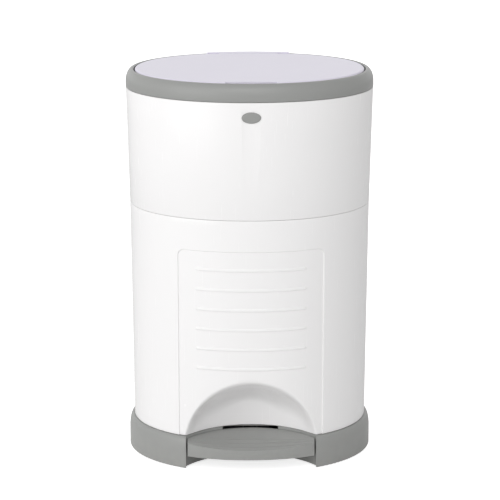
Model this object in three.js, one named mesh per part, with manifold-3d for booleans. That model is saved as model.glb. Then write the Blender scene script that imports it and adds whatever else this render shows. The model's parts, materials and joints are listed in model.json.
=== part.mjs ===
// Nappy bin with a pedal lid, a sprung throat, a hinged top and a front door.
// Sizes are in millimetres: X is right, Y is back, Z is up, and the floor is at zero.

import * as THREE from 'three';
import { mergeVertices } from 'three/addons/utils/BufferGeometryUtils.js';
import Module from 'manifold-3d';

const wasm = await Module();
wasm.setup();

// Main sizes: the body's width at its top, and the heights that stand on each other
const bodyTopHalfWidth = 179.8;
const deckHeight = 47.6;
const lowerShellHeight = 328.6;
const upperShellHeight = 169.7;
const ringRise = 26.3;

// Oval plan that every shell follows: depth is always less than width by the same drop
const depthDrop = 33.6;
const ovalPower = 2.08;
const dropReach = 120;
const shellSides = 48;
const innerSides = 36;
const roundSides = 18;
const smallSides = 10;

// Clearances
const seatGap = 0.3;
const runGap = 0.5;
const overrun = 20;

// Walls and taper of the body
const upperTaper = 3.8;
const lowerTaper = 2.8;
const shellWall = 3;
const doorLift = 0.8;

// Base plinth
const plinthProud = 0.9;
const plinthFoot = 1.5;
const plinthWall = 3;
const plinthShelf = 1.2;
const shoulderHeight = 20;
const shoulderSteps = 3;
const footDepth = 78.1;
const biteRadius = 115;
const biteHalfWidth = 95;
const slotHalfWidth = 41;
const slotDrop = 3;
const slotRise = 12;
const padRadius = 9;
const padHeight = 2.6;
const padBossRadius = 11;
const frontPadInset = 42.7;
const frontPadSetBack = 89.1;
const rearPadInset = 84.7;
const rearPadSetIn = 55.1;

// Pedal
const pivotDrop = 17.6;
const pivotSetBack = 19;
const pivotPinRadius = 3;
const pivotBracketWall = 4;
const pivotBracketReach = 9;
const leverHalfWidth = 38;
const leverBarrelRadius = 6;
const leverPlate = 5.5;
const leverReach = 43;
const armHalfWidth = 9;
const armDepth = 8;
const armDrop = 12.4;
const armTipReach = 7;
const treadHalfWidth = 92.8;
const treadRadius = 113;
const treadRimGap = 1.2;
const treadRearDrop = 3.6;
const treadSideDrop = 8.4;
const treadFrontDrop = 13.1;
const treadFrontDepth = 27.9;
const treadRearDepth = 21.1;
const treadWall = 3;
const treadSteps = 14;
const gripHeight = 0.9;
const gripWidth = 3.2;
const gripPitch = 13;
const gripCount = 3;
const pedalScrewX = 24;
const pedalScrewReach = 28;
const pedalBossRadius = 5;
const leverPlateGap = 0.6;
const springWire = 1.6;
const springCurls = 5;

// Arch over the foot
const archSideGap = 0.6;
const archDrop = 23.6;
const archRise = 110;
const archProud = 2.4;
const archSlopeShare = 0.4;
const archWall = 2.6;
const archSteps = 22;

// Ribbed panel on the door
const panelBorder = 10;
const panelTopGap = 45.7;
const panelCorner = 10;
const panelDepth = 1.6;
const ribEndGap = 25.5;
const ribLowGap = 21.2;
const ribTopGap = 27.8;
const ribCount = 6;
const ribHalfHeight = 2.4;
const ribRise = 1.3;
const ribCrest = 0.7;

// Door and its hinge
const splitY = 26;
const splitGap = 0.8;
const doorPinInset = 4.5;
const doorPinRadius = 1.5;
const knuckleRadius = 3.5;
const knuckleGap = 0.5;
const knuckleLength = 14;
const lowHingeGap = 56.4;
const highHingeGap = 54.2;
const hingeRelief = 4.4;
const catchGap = 162.2;
const catchLength = 28;
const catchDepth = 7;
const catchWidth = 6;
const doorStop = 5;

// Bag cutter inside the door
const cutterX = 40;
const cutterGap = 84.2;
const cutterHalfWidth = 34;
const cutterHalfHeight = 13;
const cutterDepth = 17;
const cutterSlot = 3;
const cutterSlotDepth = 12;
const cutterBladeWidth = 9;
const cutterBladeHalfHeight = 9;
const cutterBladeThickness = 0.6;

// Shelf and refill cassette
const throatY = -16;
const shelfRise = 0.8;
const shelfPlate = 3.5;
const shelfHoleBorder = 1;
const shelfRingWall = 3;
const shelfRingHeight = 14;
const shelfSkirt = 12;
const cassetteSpace = 13.4;
const cassetteDepth = 18;
const cassetteHeight = 52;
const cassetteWall = 2.2;
const filmInset = 6;

// Throat funnel and trap doors
const throatShare = 0.695;
const throatWall = 2.5;
const throatLength = 25.2;
const funnelDrop = 70;
const funnelFlange = 2.8;
const funnelSteps = 4;
const funnelBendShare = 0.62;
const flapThickness = 2.6;
const flapGap = 0.6;
const flapPinOutset = 6.5;
const flapPinDrop = 2.2;
const flapPinRadius = 1.2;
const flapKnuckle = 2.8;
const flapKnuckleHalf = 18;
const flapLug = 6;
const flapSpringWire = 0.8;
const flapSpringCurls = 3;
const throatSealWidth = 5;
const throatSealHeight = 3.5;

// Top ring
const ringProud = 0.2;
const ringWidth = 11.5;
const ringRound = 9.5;
const ringShoulder = 18;
const ringRoundSteps = 4;
const ringWall = 3;
const ringLip = 1.8;
const ledgeDrop = 10.2;
const ledgeThickness = 3;
const ledgeWidth = 28.5;
const mouthY = -9.5;
const ringPinInset = 3.2;
const ringPinDrop = 5.9;
const ringPinRadius = 1.6;
const ringKnuckle = 3.4;
const ringKnuckleHalf = 26;
const ringEarWidth = 12;
const ringNotchHalf = 39.5;
const ringNotchDrop = 9;
const ringEarRoot = 8;
const lidNotchHalf = 36;
const lidNotchDepth = 7;
const hingeCoverDepth = 7.4;
const hingeCoverReach = 3.2;

// Lid
const lidGap = 2;
const lidSink = 1.5;
const lidDome = 1.3;
const lidCrownAt = 0.72;
const lidCrownShare = 0.62;
const lidEdgeRound = 1;
const lidPlate = 2.6;
const lidSkirt = 6.4;
const lidSkirtWall = 2.5;
const lidRearGap = 5;
const linerRise = 1.4;
const linerBorder = 1.5;
const linerWall = 2.5;
const sealBorder = 3;
const sealWidth = 4;
const sealTaper = 1;
const sealRearGap = 17.9;
const lidPinInset = 10.4;
const lidPinSink = 3.2;
const lidPinRadius = 1.5;
const lidBarrel = 3.2;
const lidTabX = 44.5;
const lidTabWidth = 16;
const lidPinReach = 5;
const leverForward = 15.6;
const leverDrop = 8;
const leverTipRadius = 3;
const lidLeverHalfWidth = 5;

// Push rod
const rodRadius = 4;
const rodTipRadius = 4.6;
const rodTipLength = 4;
const rodFootRound = 2;
const rodHoleGap = 0.6;
const rodSlotHalf = 8;
const rodSlotAhead = 6.6;
const rodSlotBehind = 6.1;
const guideWall = 2.4;
const guideTopGap = 17.9;
const guideFoot = 11;
const guideFootFlat = 6.9;
const coverHalfWidth = 12;
const coverWall = 2.4;
const coverReach = 7;

// Release button and latch
const buttonDrop = 21.5;
const buttonHalfWidth = 13.35;
const buttonHalfHeight = 7.75;
const buttonProud = 0.9;
const buttonFlange = 2.6;
const buttonFlangeThickness = 1.2;
const buttonStemRadius = 2;
const guideRail = 3.5;
const guideRailReach = 6;
const latchPinInset = 6;
const latchPinRise = 6.1;
const latchPinRadius = 1.1;
const latchBossRadius = 2.2;
const latchHalfWidth = 8;
const latchJogDrop = 0.9;
const latchJog = 3.2;
const latchSetBack = 3;
const latchThickness = 2.6;
const latchReach = 10.4;
const latchBarbRise = 12.6;
const latchBarbDrop = 4;
const latchBarbReach = 4.6;
const latchRib = 2.5;

// Screws
const screwRadius = 1.8;
const screwHeadRadius = 3.8;
const screwHeadHeight = 2.4;
const screwLength = 16;
const screwBossRadius = 5.5;
const screwBossHeight = 24;
const frontScrewShare = 0.12;
const rearScrewShare = 0.36;

// Finishes
const whitePlastic = { color: 0xf1f0f0, roughness: 0.28, metalness: 0 };
const innerPlastic = { color: 0xe6e6e4, roughness: 0.45, metalness: 0 };
const lidPlastic = { color: 0xe4e1e8, roughness: 0.22, metalness: 0 };
const greyPlastic = { color: 0x8f9392, roughness: 0.38, metalness: 0 };
const darkRubber = { color: 0x3a3c3d, roughness: 0.85, metalness: 0 };
const paleRubber = { color: 0xb9bcbc, roughness: 0.7, metalness: 0 };
const steel = { color: 0xb4b7ba, roughness: 0.3, metalness: 1 };
const film = { color: 0xcfdde6, roughness: 0.35, metalness: 0 };

// Widths worked out from the body's
const seamHalfWidth = bodyTopHalfWidth - upperTaper;
const bodyFootHalfWidth = seamHalfWidth - lowerTaper;
const bodyInnerSeam = seamHalfWidth - shellWall;
const plinthHalfWidth = bodyTopHalfWidth + plinthProud;
const plinthTopHalfWidth = bodyFootHalfWidth + plinthShelf;
const treadRimHalfWidth = plinthHalfWidth - treadRimGap;
const archHalfWidth = biteHalfWidth + archSideGap;
const panelHalfWidth = biteHalfWidth + panelBorder;
const ribHalfLength = panelHalfWidth - ribEndGap;
const doorPinX = -(seamHalfWidth - doorPinInset);
const ringHalfWidth = bodyTopHalfWidth + ringProud;
const ringInnerHalfWidth = ringHalfWidth - ringWidth;
const mouthHalfWidth = ringInnerHalfWidth - ledgeWidth;
const lidHalfWidth = ringInnerHalfWidth - lidGap;
const cassetteRadius = halfDepth(seamHalfWidth) + throatY - cassetteSpace;
const cassetteBore = cassetteRadius - cassetteDepth;
const shelfHole = cassetteBore + shelfHoleBorder;
const throatRadius = cassetteBore * throatShare;
const flapPinX = throatRadius + flapPinOutset;

// Depths worked out from the widths
const biteBack = footDepth - halfDepth(plinthHalfWidth);
const biteCentreY = biteBack - biteRadius;
const frontPadX = plinthHalfWidth - frontPadInset;
const frontPadY = frontPadSetBack - halfDepth(plinthHalfWidth);
const rearPadX = plinthHalfWidth - rearPadInset;
const rearPadY = halfDepth(plinthHalfWidth) - rearPadSetIn;
const pivotY = biteBack + pivotSetBack;
const leverFront = biteBack - leverReach;
const pedalScrewY = biteBack - pedalScrewReach;
const archFrontY = -(halfDepth(bodyFootHalfWidth) + archProud);
const ringPinY = halfDepth(bodyTopHalfWidth) - ringPinInset;
const lidPinY = halfDepth(ringInnerHalfWidth) - lidPinInset;
const lidRear = lidPinY - lidRearGap;
const hingeCoverFront = lidPinY - hingeCoverReach;
const sealRear = lidRear - sealRearGap;
const rodY = lidPinY - leverForward;
const rodSlotFront = rodY - rodSlotAhead;
const rodSlotRear = rodY + rodSlotBehind;
const latchPinY = latchPinInset - halfDepth(ringHalfWidth);
const latchFront = latchPinY + latchSetBack;

// Heights worked out from the stacked ones
const seamHeight = deckHeight + lowerShellHeight;
const ringHeight = seamHeight + upperShellHeight;
const ridgeHeight = ringHeight + ringRise;
const plinthWallHeight = deckHeight - shoulderHeight;
const pivotHeight = deckHeight - pivotDrop;
const slotLow = pivotHeight - slotDrop;
const slotTop = pivotHeight + slotRise;
const armTipTop = pivotHeight - armDrop;
const treadRearTop = deckHeight - treadRearDrop;
const treadSideTop = deckHeight - treadSideDrop;
const treadFrontTop = deckHeight - treadFrontDrop;
const treadFrontLow = deckHeight - treadFrontDepth;
const treadRearLow = deckHeight - treadRearDepth;
const archCentreHeight = deckHeight - archDrop;
const doorBottom = deckHeight + doorLift;
const shellTop = seamHeight - seatGap;
const panelTop = seamHeight - panelTopGap;
const ribLow = archCentreHeight + archRise + ribLowGap;
const ribPitch = (panelTop - ribTopGap - ribLow) / (ribCount - 1);
const lowHingeHeight = deckHeight + lowHingeGap;
const highHingeHeight = seamHeight - highHingeGap;
const catchHeight = seamHeight - catchGap;
const cutterHeight = seamHeight - cutterGap;
const shelfTop = seamHeight + shelfRise;
const ledgeHeight = ridgeHeight - ledgeDrop;
const lidEdgeHeight = ridgeHeight - lidSink;
const hingeCoverTop = lidEdgeHeight;
const hingeCoverBottom = hingeCoverTop - hingeCoverDepth;
const lidPinHeight = lidEdgeHeight - lidPinSink;
const rodTop = lidPinHeight - leverDrop - leverTipRadius - seatGap;
const throatTop = ledgeHeight - funnelDrop;
const throatBottom = throatTop - throatLength;
const flapPinHeight = throatBottom - flapPinDrop;
const ringPinHeight = ringHeight - ringPinDrop;
const ringNotchFloor = ringPinHeight - ringNotchDrop;
const guideTop = ringHeight - guideTopGap;
const buttonHeight = ringHeight - buttonDrop;
const latchPinHeight = ringHeight + latchPinRise;
const latchJogTop = ringHeight - latchJogDrop;
const latchBottom = buttonHeight - latchReach;
const latchBarbTop = buttonHeight + latchBarbRise;
const mergeTolerance = 1e-4;

// Joins and cuts

function solidOf(geometry) {
  const bare = geometry.clone();
  bare.deleteAttribute('normal');
  bare.deleteAttribute('uv');
  const merged = mergeVertices(bare, mergeTolerance);
  const mesh = new wasm.Mesh({
    numProp: 3,
    vertProperties: Float32Array.from(merged.attributes.position.array),
    triVerts: Uint32Array.from(merged.index.array),
  });
  return new wasm.Manifold(mesh);
}

function geometryOf(solid) {
  const mesh = solid.getMesh();
  const geometry = new THREE.BufferGeometry();
  geometry.setAttribute('position', new THREE.BufferAttribute(Float32Array.from(mesh.vertProperties), 3));
  geometry.setIndex(new THREE.BufferAttribute(Uint32Array.from(mesh.triVerts), 1));
  return geometry;
}

function joinAll(solids) {
  return solids.reduce((whole, next) => whole.add(next));
}

function cutAll(solid, cutters) {
  return cutters.reduce((rest, next) => rest.subtract(next), solid);
}

// Six times the volume that the triangles enclose, negative where they face inwards
function facing(positions, index) {
  let total = 0;
  const corner = [new THREE.Vector3(), new THREE.Vector3(), new THREE.Vector3()];
  for (let i = 0; i < index.length; i += 3) {
    corner.forEach((point, k) => point.fromArray(positions, 3 * index[i + k]));
    total += corner[0].dot(corner[1].cross(corner[2]));
  }
  return total;
}

// Skin through rings of points: a ring of one point is a pole, and a looped skin closes on itself
function skin(rings, looped) {
  const positions = [];
  const starts = [];
  rings.forEach((ring) => {
    starts.push(positions.length / 3);
    ring.forEach((point) => positions.push(point.x, point.y, point.z));
  });
  const index = [];
  const bands = looped ? rings.length : rings.length - 1;
  for (let band = 0; band < bands; band += 1) {
    const next = (band + 1) % rings.length;
    const low = rings[band].length;
    const high = rings[next].length;
    for (let i = 0; i < Math.max(low, high); i += 1) {
      const a = starts[band] + (i % low);
      const b = starts[band] + ((i + 1) % low);
      const c = starts[next] + ((i + 1) % high);
      const d = starts[next] + (i % high);
      if (low > 1) index.push(a, b, c);
      if (high > 1) index.push(a, c, d);
    }
  }
  if (facing(positions, index) < 0) index.reverse();
  const geometry = new THREE.BufferGeometry();
  geometry.setAttribute('position', new THREE.Float32BufferAttribute(positions, 3));
  geometry.setIndex(index);
  return solidOf(geometry);
}

// Oval outline of the plan at one height
function halfDepth(halfWidth) {
  return halfWidth - depthDrop * Math.min(1, halfWidth / dropReach);
}

function ovalPoint(halfWidth, angle, height) {
  const along = Math.cos(angle);
  const across = Math.sin(angle);
  const x = halfWidth * Math.sign(along) * Math.abs(along) ** (2 / ovalPower);
  const y = halfDepth(halfWidth) * Math.sign(across) * Math.abs(across) ** (2 / ovalPower);
  return new THREE.Vector3(x, y, height);
}

// Depth of the outline at an x, and its width at a y
function faceDepth(halfWidth, x) {
  return halfDepth(halfWidth) * (1 - Math.abs(x / halfWidth) ** ovalPower) ** (1 / ovalPower);
}

function faceWidth(halfWidth, y) {
  return halfWidth * (1 - Math.abs(y / halfDepth(halfWidth)) ** ovalPower) ** (1 / ovalPower);
}

function ovalRing(halfWidth, height, sides) {
  if (halfWidth === 0) return [new THREE.Vector3(0, 0, height)];
  return Array.from({ length: sides }, (_, i) => ovalPoint(halfWidth, (2 * Math.PI * i) / sides, height));
}

// Solid whose section is a list of [half width, height], either axis to axis or a closed loop
function ovalSolid(section, sides = shellSides) {
  const rings = section.map(([halfWidth, height]) => ovalRing(halfWidth, height, sides));
  return skin(rings, section[0][0] !== 0);
}

function turned(section, sides = roundSides) {
  const points = section.map(([radius, height]) => new THREE.Vector2(radius, height));
  if (section[0][0] !== 0) points.push(points[0].clone());
  const geometry = new THREE.LatheGeometry(points, sides);
  geometry.rotateX(Math.PI / 2);
  const solid = solidOf(geometry);
  return solid.volume() > 0 ? solid : solidOf(flipped(geometry));
}

function flipped(geometry) {
  const copy = geometry.clone();
  copy.setIndex(Array.from(copy.index.array).reverse());
  return copy;
}

function box(x, y, z) {
  const geometry = new THREE.BoxGeometry(x[1] - x[0], y[1] - y[0], z[1] - z[0]);
  geometry.translate((x[0] + x[1]) / 2, (y[0] + y[1]) / 2, (z[0] + z[1]) / 2);
  return solidOf(geometry);
}

// Round bars along each axis
function uprightBar(radius, x, y, z, sides = smallSides) {
  const geometry = new THREE.CylinderGeometry(radius, radius, z[1] - z[0], sides);
  geometry.rotateX(Math.PI / 2);
  geometry.translate(x, y, (z[0] + z[1]) / 2);
  return solidOf(geometry);
}

function crossBar(radius, x, y, z, sides = smallSides) {
  const geometry = new THREE.CylinderGeometry(radius, radius, x[1] - x[0], sides);
  geometry.rotateZ(Math.PI / 2);
  geometry.translate((x[0] + x[1]) / 2, y, z);
  return solidOf(geometry);
}

function deepBar(radius, x, y, z, sides = smallSides) {
  const geometry = new THREE.CylinderGeometry(radius, radius, y[1] - y[0], sides);
  geometry.translate(x, (y[0] + y[1]) / 2, z);
  return solidOf(geometry);
}

// Flat outlines pushed out along each axis
function pushUp(shape, z, curveSegments = roundSides) {
  const geometry = new THREE.ExtrudeGeometry(shape, { depth: z[1] - z[0], bevelEnabled: false, curveSegments });
  geometry.translate(0, 0, z[0]);
  return solidOf(geometry);
}

function pushBack(shape, y, curveSegments = roundSides) {
  const geometry = new THREE.ExtrudeGeometry(shape, { depth: y[1] - y[0], bevelEnabled: false, curveSegments });
  geometry.rotateX(Math.PI / 2);
  geometry.translate(0, y[1], 0);
  return solidOf(geometry);
}

// Side outline in [y, z], pushed across from one x to another
function pushAcross(outline, x) {
  const shape = new THREE.Shape(outline.map(([y, z]) => new THREE.Vector2(y, z)));
  const geometry = new THREE.ExtrudeGeometry(shape, { depth: x[1] - x[0], bevelEnabled: false });
  const toSide = new THREE.Matrix4().makeBasis(
    new THREE.Vector3(0, 1, 0),
    new THREE.Vector3(0, 0, 1),
    new THREE.Vector3(1, 0, 0),
  );
  geometry.applyMatrix4(toSide);
  geometry.translate(x[0], 0, 0);
  return solidOf(geometry);
}

function ellipsePlug(halfWidth, halfHeight, height, y) {
  const shape = new THREE.Shape();
  shape.absellipse(0, height, halfWidth, halfHeight, 0, 2 * Math.PI, false, 0);
  const geometry = new THREE.ExtrudeGeometry(shape, { depth: y[1] - y[0], bevelEnabled: false, curveSegments: 12 });
  geometry.rotateX(Math.PI / 2);
  geometry.translate(0, y[1], 0);
  return solidOf(geometry);
}

// Wound wire along X, as one unbroken tube, with its least gap to itself printed
function coil(name, radius, wire, curls, centre) {
  const steps = 8;
  const sides = 5;
  const pitch = 2 * wire;
  const count = steps * curls;
  const rings = [];
  const middle = [];
  for (let i = 0; i <= count; i += 1) {
    const angle = (2 * Math.PI * i) / steps;
    const out = new THREE.Vector3(0, Math.cos(angle), Math.sin(angle));
    const along = new THREE.Vector3(1, 0, 0);
    const point = centre.clone().addScaledVector(out, radius);
    point.x += pitch * (i / steps - curls / 2);
    middle.push(point);
    rings.push(Array.from({ length: sides }, (_, k) => {
      const turn = (2 * Math.PI * k) / sides;
      return point.clone().addScaledVector(out, (wire / 2) * Math.cos(turn))
        .addScaledVector(along, (wire / 2) * Math.sin(turn));
    }));
  }
  rings.unshift([middle[0]]);
  rings.push([middle[count]]);
  let least = Infinity;
  middle.forEach((point, i) => {
    middle.slice(i + steps / 2).forEach((other) => {
      least = Math.min(least, point.distanceTo(other) - wire);
    });
  });
  console.log(`${name}: least gap to itself ${least.toFixed(2)} mm`);
  return skin(rings, false);
}

// Screw with its head below, standing along Z
function screw(x, y, headTop, length) {
  const head = uprightBar(screwHeadRadius, x, y, [headTop - screwHeadHeight, headTop]);
  return head.add(uprightBar(screwRadius, x, y, [headTop - screwHeadHeight / 2, headTop + length]));
}

// Half width of the body's outside at a height
function bodyHalfWidth(height) {
  const low = (height - deckHeight) / (seamHeight - deckHeight);
  const high = (height - seamHeight) / (ringHeight - seamHeight);
  if (height < seamHeight) return bodyFootHalfWidth + low * (seamHalfWidth - bodyFootHalfWidth);
  return seamHalfWidth + high * (bodyTopHalfWidth - seamHalfWidth);
}

// Solid body outline between two heights, shrunk by an inset
function bodyCore(inset, bottom, top) {
  const low = bodyHalfWidth(bottom) - inset;
  const high = bodyHalfWidth(top) - inset;
  return ovalSolid([[0, bottom], [low, bottom], [high, top], [0, top]]);
}

function bodyBand(bottom, top, outerInset, innerInset) {
  const low = bodyHalfWidth(bottom);
  const high = bodyHalfWidth(top);
  return ovalSolid([
    [low - outerInset, bottom],
    [high - outerInset, top],
    [high - innerInset, top],
    [low - innerInset, bottom],
  ]);
}

// Foot space in plan: a circle's back with straight sides
function biteVoid(grow, z) {
  const half = biteHalfWidth + grow;
  const radius = biteRadius + grow;
  const rise = Math.sqrt(radius * radius - half * half);
  const start = Math.atan2(rise, half);
  const shape = new THREE.Shape();
  shape.moveTo(-half, -bodyTopHalfWidth);
  shape.lineTo(half, -bodyTopHalfWidth);
  shape.lineTo(half, biteCentreY + rise);
  shape.absarc(0, biteCentreY, radius, start, Math.PI - start, false);
  shape.closePath();
  return pushUp(shape, z);
}

// Arch over the foot, whose ceiling falls towards the back
function archVoid(grow) {
  const ring = (y) => {
    const rise = archRise + archSlopeShare * (archFrontY - y) + grow;
    const half = archHalfWidth + grow;
    const points = [];
    for (let i = 0; i <= archSteps; i += 1) {
      const angle = (Math.PI * i) / archSteps;
      points.push(new THREE.Vector3(half * Math.cos(angle), y, archCentreHeight + rise * Math.sin(angle)));
    }
    points.push(new THREE.Vector3(-half, y, -overrun));
    points.push(new THREE.Vector3(half, y, -overrun));
    return points;
  };
  const front = -bodyTopHalfWidth;
  const back = biteBack + overrun;
  const middle = (y) => [new THREE.Vector3(0, y, 0)];
  return skin([middle(front), ring(front), ring(back), middle(back)], false);
}

function footSpace(grow) {
  return archVoid(grow).intersect(biteVoid(grow, [-overrun, seamHeight]));
}

// Base plinth with the foot space, the pedal's slot and brackets, and bosses for pads and screws

function shoulder(topHalfWidth, wallTop, top) {
  const points = [];
  for (let i = 0; i <= shoulderSteps; i += 1) {
    const angle = (Math.PI / 2) * (i / shoulderSteps);
    const out = Math.cos(angle);
    const up = Math.sin(angle);
    const halfWidth = topHalfWidth + (plinthHalfWidth - plinthTopHalfWidth) * out;
    points.push([halfWidth, wallTop + (top - wallTop) * up]);
  }
  return points;
}

function padPlaces() {
  const places = [];
  [-1, 1].forEach((side) => {
    places.push([side * frontPadX, frontPadY]);
    places.push([side * rearPadX, rearPadY]);
  });
  return places;
}

function screwPlaces() {
  const halfWidth = bodyFootHalfWidth - shellWall - screwBossRadius;
  return [frontScrewShare, rearScrewShare, 1 - rearScrewShare, 1 - frontScrewShare].map((share) => {
    const point = ovalPoint(halfWidth, Math.PI * share, 0);
    return [point.x, point.y];
  });
}

function basePlinth() {
  const outside = ovalSolid([
    [0, plinthFoot],
    [plinthHalfWidth, plinthFoot],
    ...shoulder(plinthTopHalfWidth, plinthWallHeight, deckHeight),
    [0, deckHeight],
  ]);
  const inside = ovalSolid([
    [0, plinthFoot - overrun],
    [plinthHalfWidth - plinthWall, plinthFoot - overrun],
    ...shoulder(plinthTopHalfWidth - plinthWall, plinthWallHeight - plinthWall, deckHeight - plinthWall),
    [0, deckHeight - plinthWall],
  ]);
  const tall = [-overrun, deckHeight + overrun];
  const hollow = inside.subtract(biteVoid(plinthWall, tall));
  const underDeck = deckHeight - plinthWall / 2;
  const bosses = padPlaces().map(([x, y]) => uprightBar(padBossRadius, x, y, [padHeight + seatGap, underDeck], roundSides));
  const brackets = [-1, 1].map((side) => {
    const near = side * (slotHalfWidth + runGap);
    const far = side * (slotHalfWidth + runGap + pivotBracketWall);
    const x = [Math.min(near, far), Math.max(near, far)];
    const y = [pivotY - pivotBracketReach, pivotY + pivotBracketReach];
    return box(x, y, [pivotHeight, underDeck]).add(crossBar(pivotBracketReach, x, pivotY, pivotHeight, roundSides));
  });
  const shell = joinAll([outside.subtract(hollow), ...bosses, ...brackets]);
  const slot = box([-slotHalfWidth, slotHalfWidth], [biteBack - overrun, biteBack + plinthWall + runGap], [slotLow, slotTop]);
  const pinHole = crossBar(pivotPinRadius + seatGap, [-2 * slotHalfWidth, 2 * slotHalfWidth], pivotY, pivotHeight);
  const rodHole = uprightBar(rodRadius + rodHoleGap, 0, rodY, [0, deckHeight + overrun]);
  const screwHoles = screwPlaces().map(([x, y]) => uprightBar(screwRadius + seatGap, x, y, [deckHeight - 2 * plinthWall, deckHeight + overrun]));
  return cutAll(shell, [biteVoid(0, tall), slot, pinHole, rodHole, ...screwHoles]);
}

// Lower rear shell and the front door, split at one depth

function lowerShell(side) {
  const bottom = side < 0 ? doorBottom : deckHeight + seatGap;
  const band = bodyBand(bottom, shellTop, 0, shellWall);
  const edge = splitY + (side * splitGap) / 2;
  const far = side * (bodyTopHalfWidth + overrun);
  const keep = box(
    [-bodyTopHalfWidth - overrun, bodyTopHalfWidth + overrun],
    [Math.min(edge, far), Math.max(edge, far)],
    [0, seamHeight],
  );
  const relief = uprightBar(hingeRelief, doorPinX, splitY, [0, seamHeight], roundSides);
  return band.intersect(keep).subtract(relief);
}

// Hinge knuckles: the shell's lie above and below the door's at each hinge
function knuckle(height, order) {
  const low = height + order * knuckleLength - knuckleLength / 2 + knuckleGap / 2;
  const high = low + knuckleLength - knuckleGap;
  const barrel = uprightBar(knuckleRadius, doorPinX, splitY, [low, high], roundSides);
  const toShell = order === 0 ? -1 : 1;
  const reach = splitY + toShell * (hingeRelief + shellWall);
  const y = [Math.min(splitY, reach), Math.max(splitY, reach)];
  const leaf = box([doorPinX - knuckleRadius, doorPinX + knuckleRadius], y, [low, high])
    .intersect(bodyCore(shellWall / 3, doorBottom, shellTop));
  return barrel.add(leaf);
}

function knuckleHole() {
  return uprightBar(doorPinRadius + seatGap, doorPinX, splitY, [0, seamHeight]);
}

function lowerRearShell() {
  const knuckles = [lowHingeHeight, highHingeHeight].flatMap((height) => [knuckle(height, -1), knuckle(height, 1)]);
  const bosses = screwPlaces().map(([x, y]) => {
    const boss = uprightBar(screwBossRadius, x, y, [deckHeight + seatGap, deckHeight + screwBossHeight]);
    const web = box([x - screwRadius, x + screwRadius], [y, y + 2 * screwBossRadius], [deckHeight + seatGap, deckHeight + screwBossHeight]);
    return boss.add(web).intersect(bodyCore(shellWall / 2, deckHeight + seatGap, shellTop));
  });
  const catchX = faceWidth(bodyHalfWidth(catchHeight) - shellWall, splitY) - doorStop - seatGap;
  const strike = box(
    [catchX - catchWidth, bodyTopHalfWidth],
    [splitY + splitGap / 2, splitY + splitGap / 2 + catchDepth],
    [catchHeight, catchHeight + catchLength],
  ).intersect(bodyCore(shellWall / 2, doorBottom, shellTop));
  const whole = joinAll([lowerShell(1), ...knuckles, ...bosses, strike]);
  const holes = screwPlaces().map(([x, y]) => uprightBar(screwRadius + seatGap, x, y, [deckHeight, deckHeight + screwLength + runGap]));
  return cutAll(whole, [knuckleHole(), ...holes]);
}

function panelRecess() {
  const shape = new THREE.Shape();
  shape.moveTo(-panelHalfWidth, 0);
  shape.lineTo(panelHalfWidth, 0);
  shape.lineTo(panelHalfWidth, panelTop - panelCorner);
  shape.absarc(panelHalfWidth - panelCorner, panelTop - panelCorner, panelCorner, 0, Math.PI / 2, false);
  shape.absarc(-panelHalfWidth + panelCorner, panelTop - panelCorner, panelCorner, Math.PI / 2, Math.PI, false);
  shape.closePath();
  const prism = pushBack(shape, [-bodyTopHalfWidth - overrun, 0], 4);
  return bodyBand(0, seamHeight, -overrun, panelDepth).intersect(prism);
}

function panelRibs() {
  const reach = box([-ribHalfLength, ribHalfLength], [-bodyTopHalfWidth, 0], [0, seamHeight]);
  return Array.from({ length: ribCount }, (_, i) => {
    const height = ribLow + i * ribPitch;
    const face = bodyHalfWidth(height) - panelDepth;
    const root = face - shellWall / 3;
    return ovalSolid([
      [root, height - ribHalfHeight],
      [face + ribRise, height - ribCrest],
      [face + ribRise, height + ribCrest],
      [root, height + ribHalfHeight],
    ]).intersect(reach);
  });
}

function frontDoor() {
  const shell = lowerShell(-1).subtract(panelRecess());
  const scoop = footSpace(0);
  const above = box(
    [-bodyTopHalfWidth, bodyTopHalfWidth],
    [-bodyTopHalfWidth, splitY],
    [doorBottom, seamHeight],
  );
  const skinInset = (panelDepth + shellWall) / 2;
  const scoopWall = footSpace(archWall).intersect(bodyCore(skinInset, 0, shellTop)).intersect(above);
  const knuckles = [lowHingeHeight, highHingeHeight].map((height) => knuckle(height, 0));
  const whole = joinAll([shell, ...panelRibs(), scoopWall, ...knuckles, doorStopRib()]);
  return cutAll(whole, [scoop, knuckleHole()]);
}

// Upright rib inside the door's free edge, which stiffens it and carries the catch
function doorStopRib() {
  const rib = box(
    [0, bodyTopHalfWidth],
    [splitY - splitGap / 2 - doorStop - shellWall, splitY - splitGap / 2 - doorStop],
    [doorBottom, shellTop - shelfSkirt],
  );
  return rib.intersect(bodyBand(doorBottom, shellTop, shellWall / 2, shellWall + doorStop));
}

function doorCatch() {
  const front = splitY - splitGap / 2 - doorStop - 2 * shellWall;
  const outer = faceWidth(bodyHalfWidth(catchHeight) - shellWall, splitY) - doorStop - seatGap;
  return box(
    [outer - catchWidth, outer],
    [front, splitY - splitGap / 2],
    [catchHeight, catchHeight + catchLength],
  );
}

function cutterFront() {
  return -faceDepth(bodyHalfWidth(cutterHeight) - shellWall, cutterX);
}

function cutterHousing() {
  const back = cutterFront() + cutterDepth;
  const block = box(
    [cutterX - cutterHalfWidth, cutterX + cutterHalfWidth],
    [-bodyTopHalfWidth, back],
    [cutterHeight - cutterHalfHeight, cutterHeight + cutterHalfHeight],
  );
  const slot = box(
    [cutterX - cutterSlot / 2, cutterX + cutterSlot / 2],
    [back - cutterSlotDepth, back + overrun],
    [0, seamHeight],
  );
  return block.intersect(bodyCore(shellWall + seatGap, doorBottom, shellTop)).subtract(slot);
}

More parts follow.
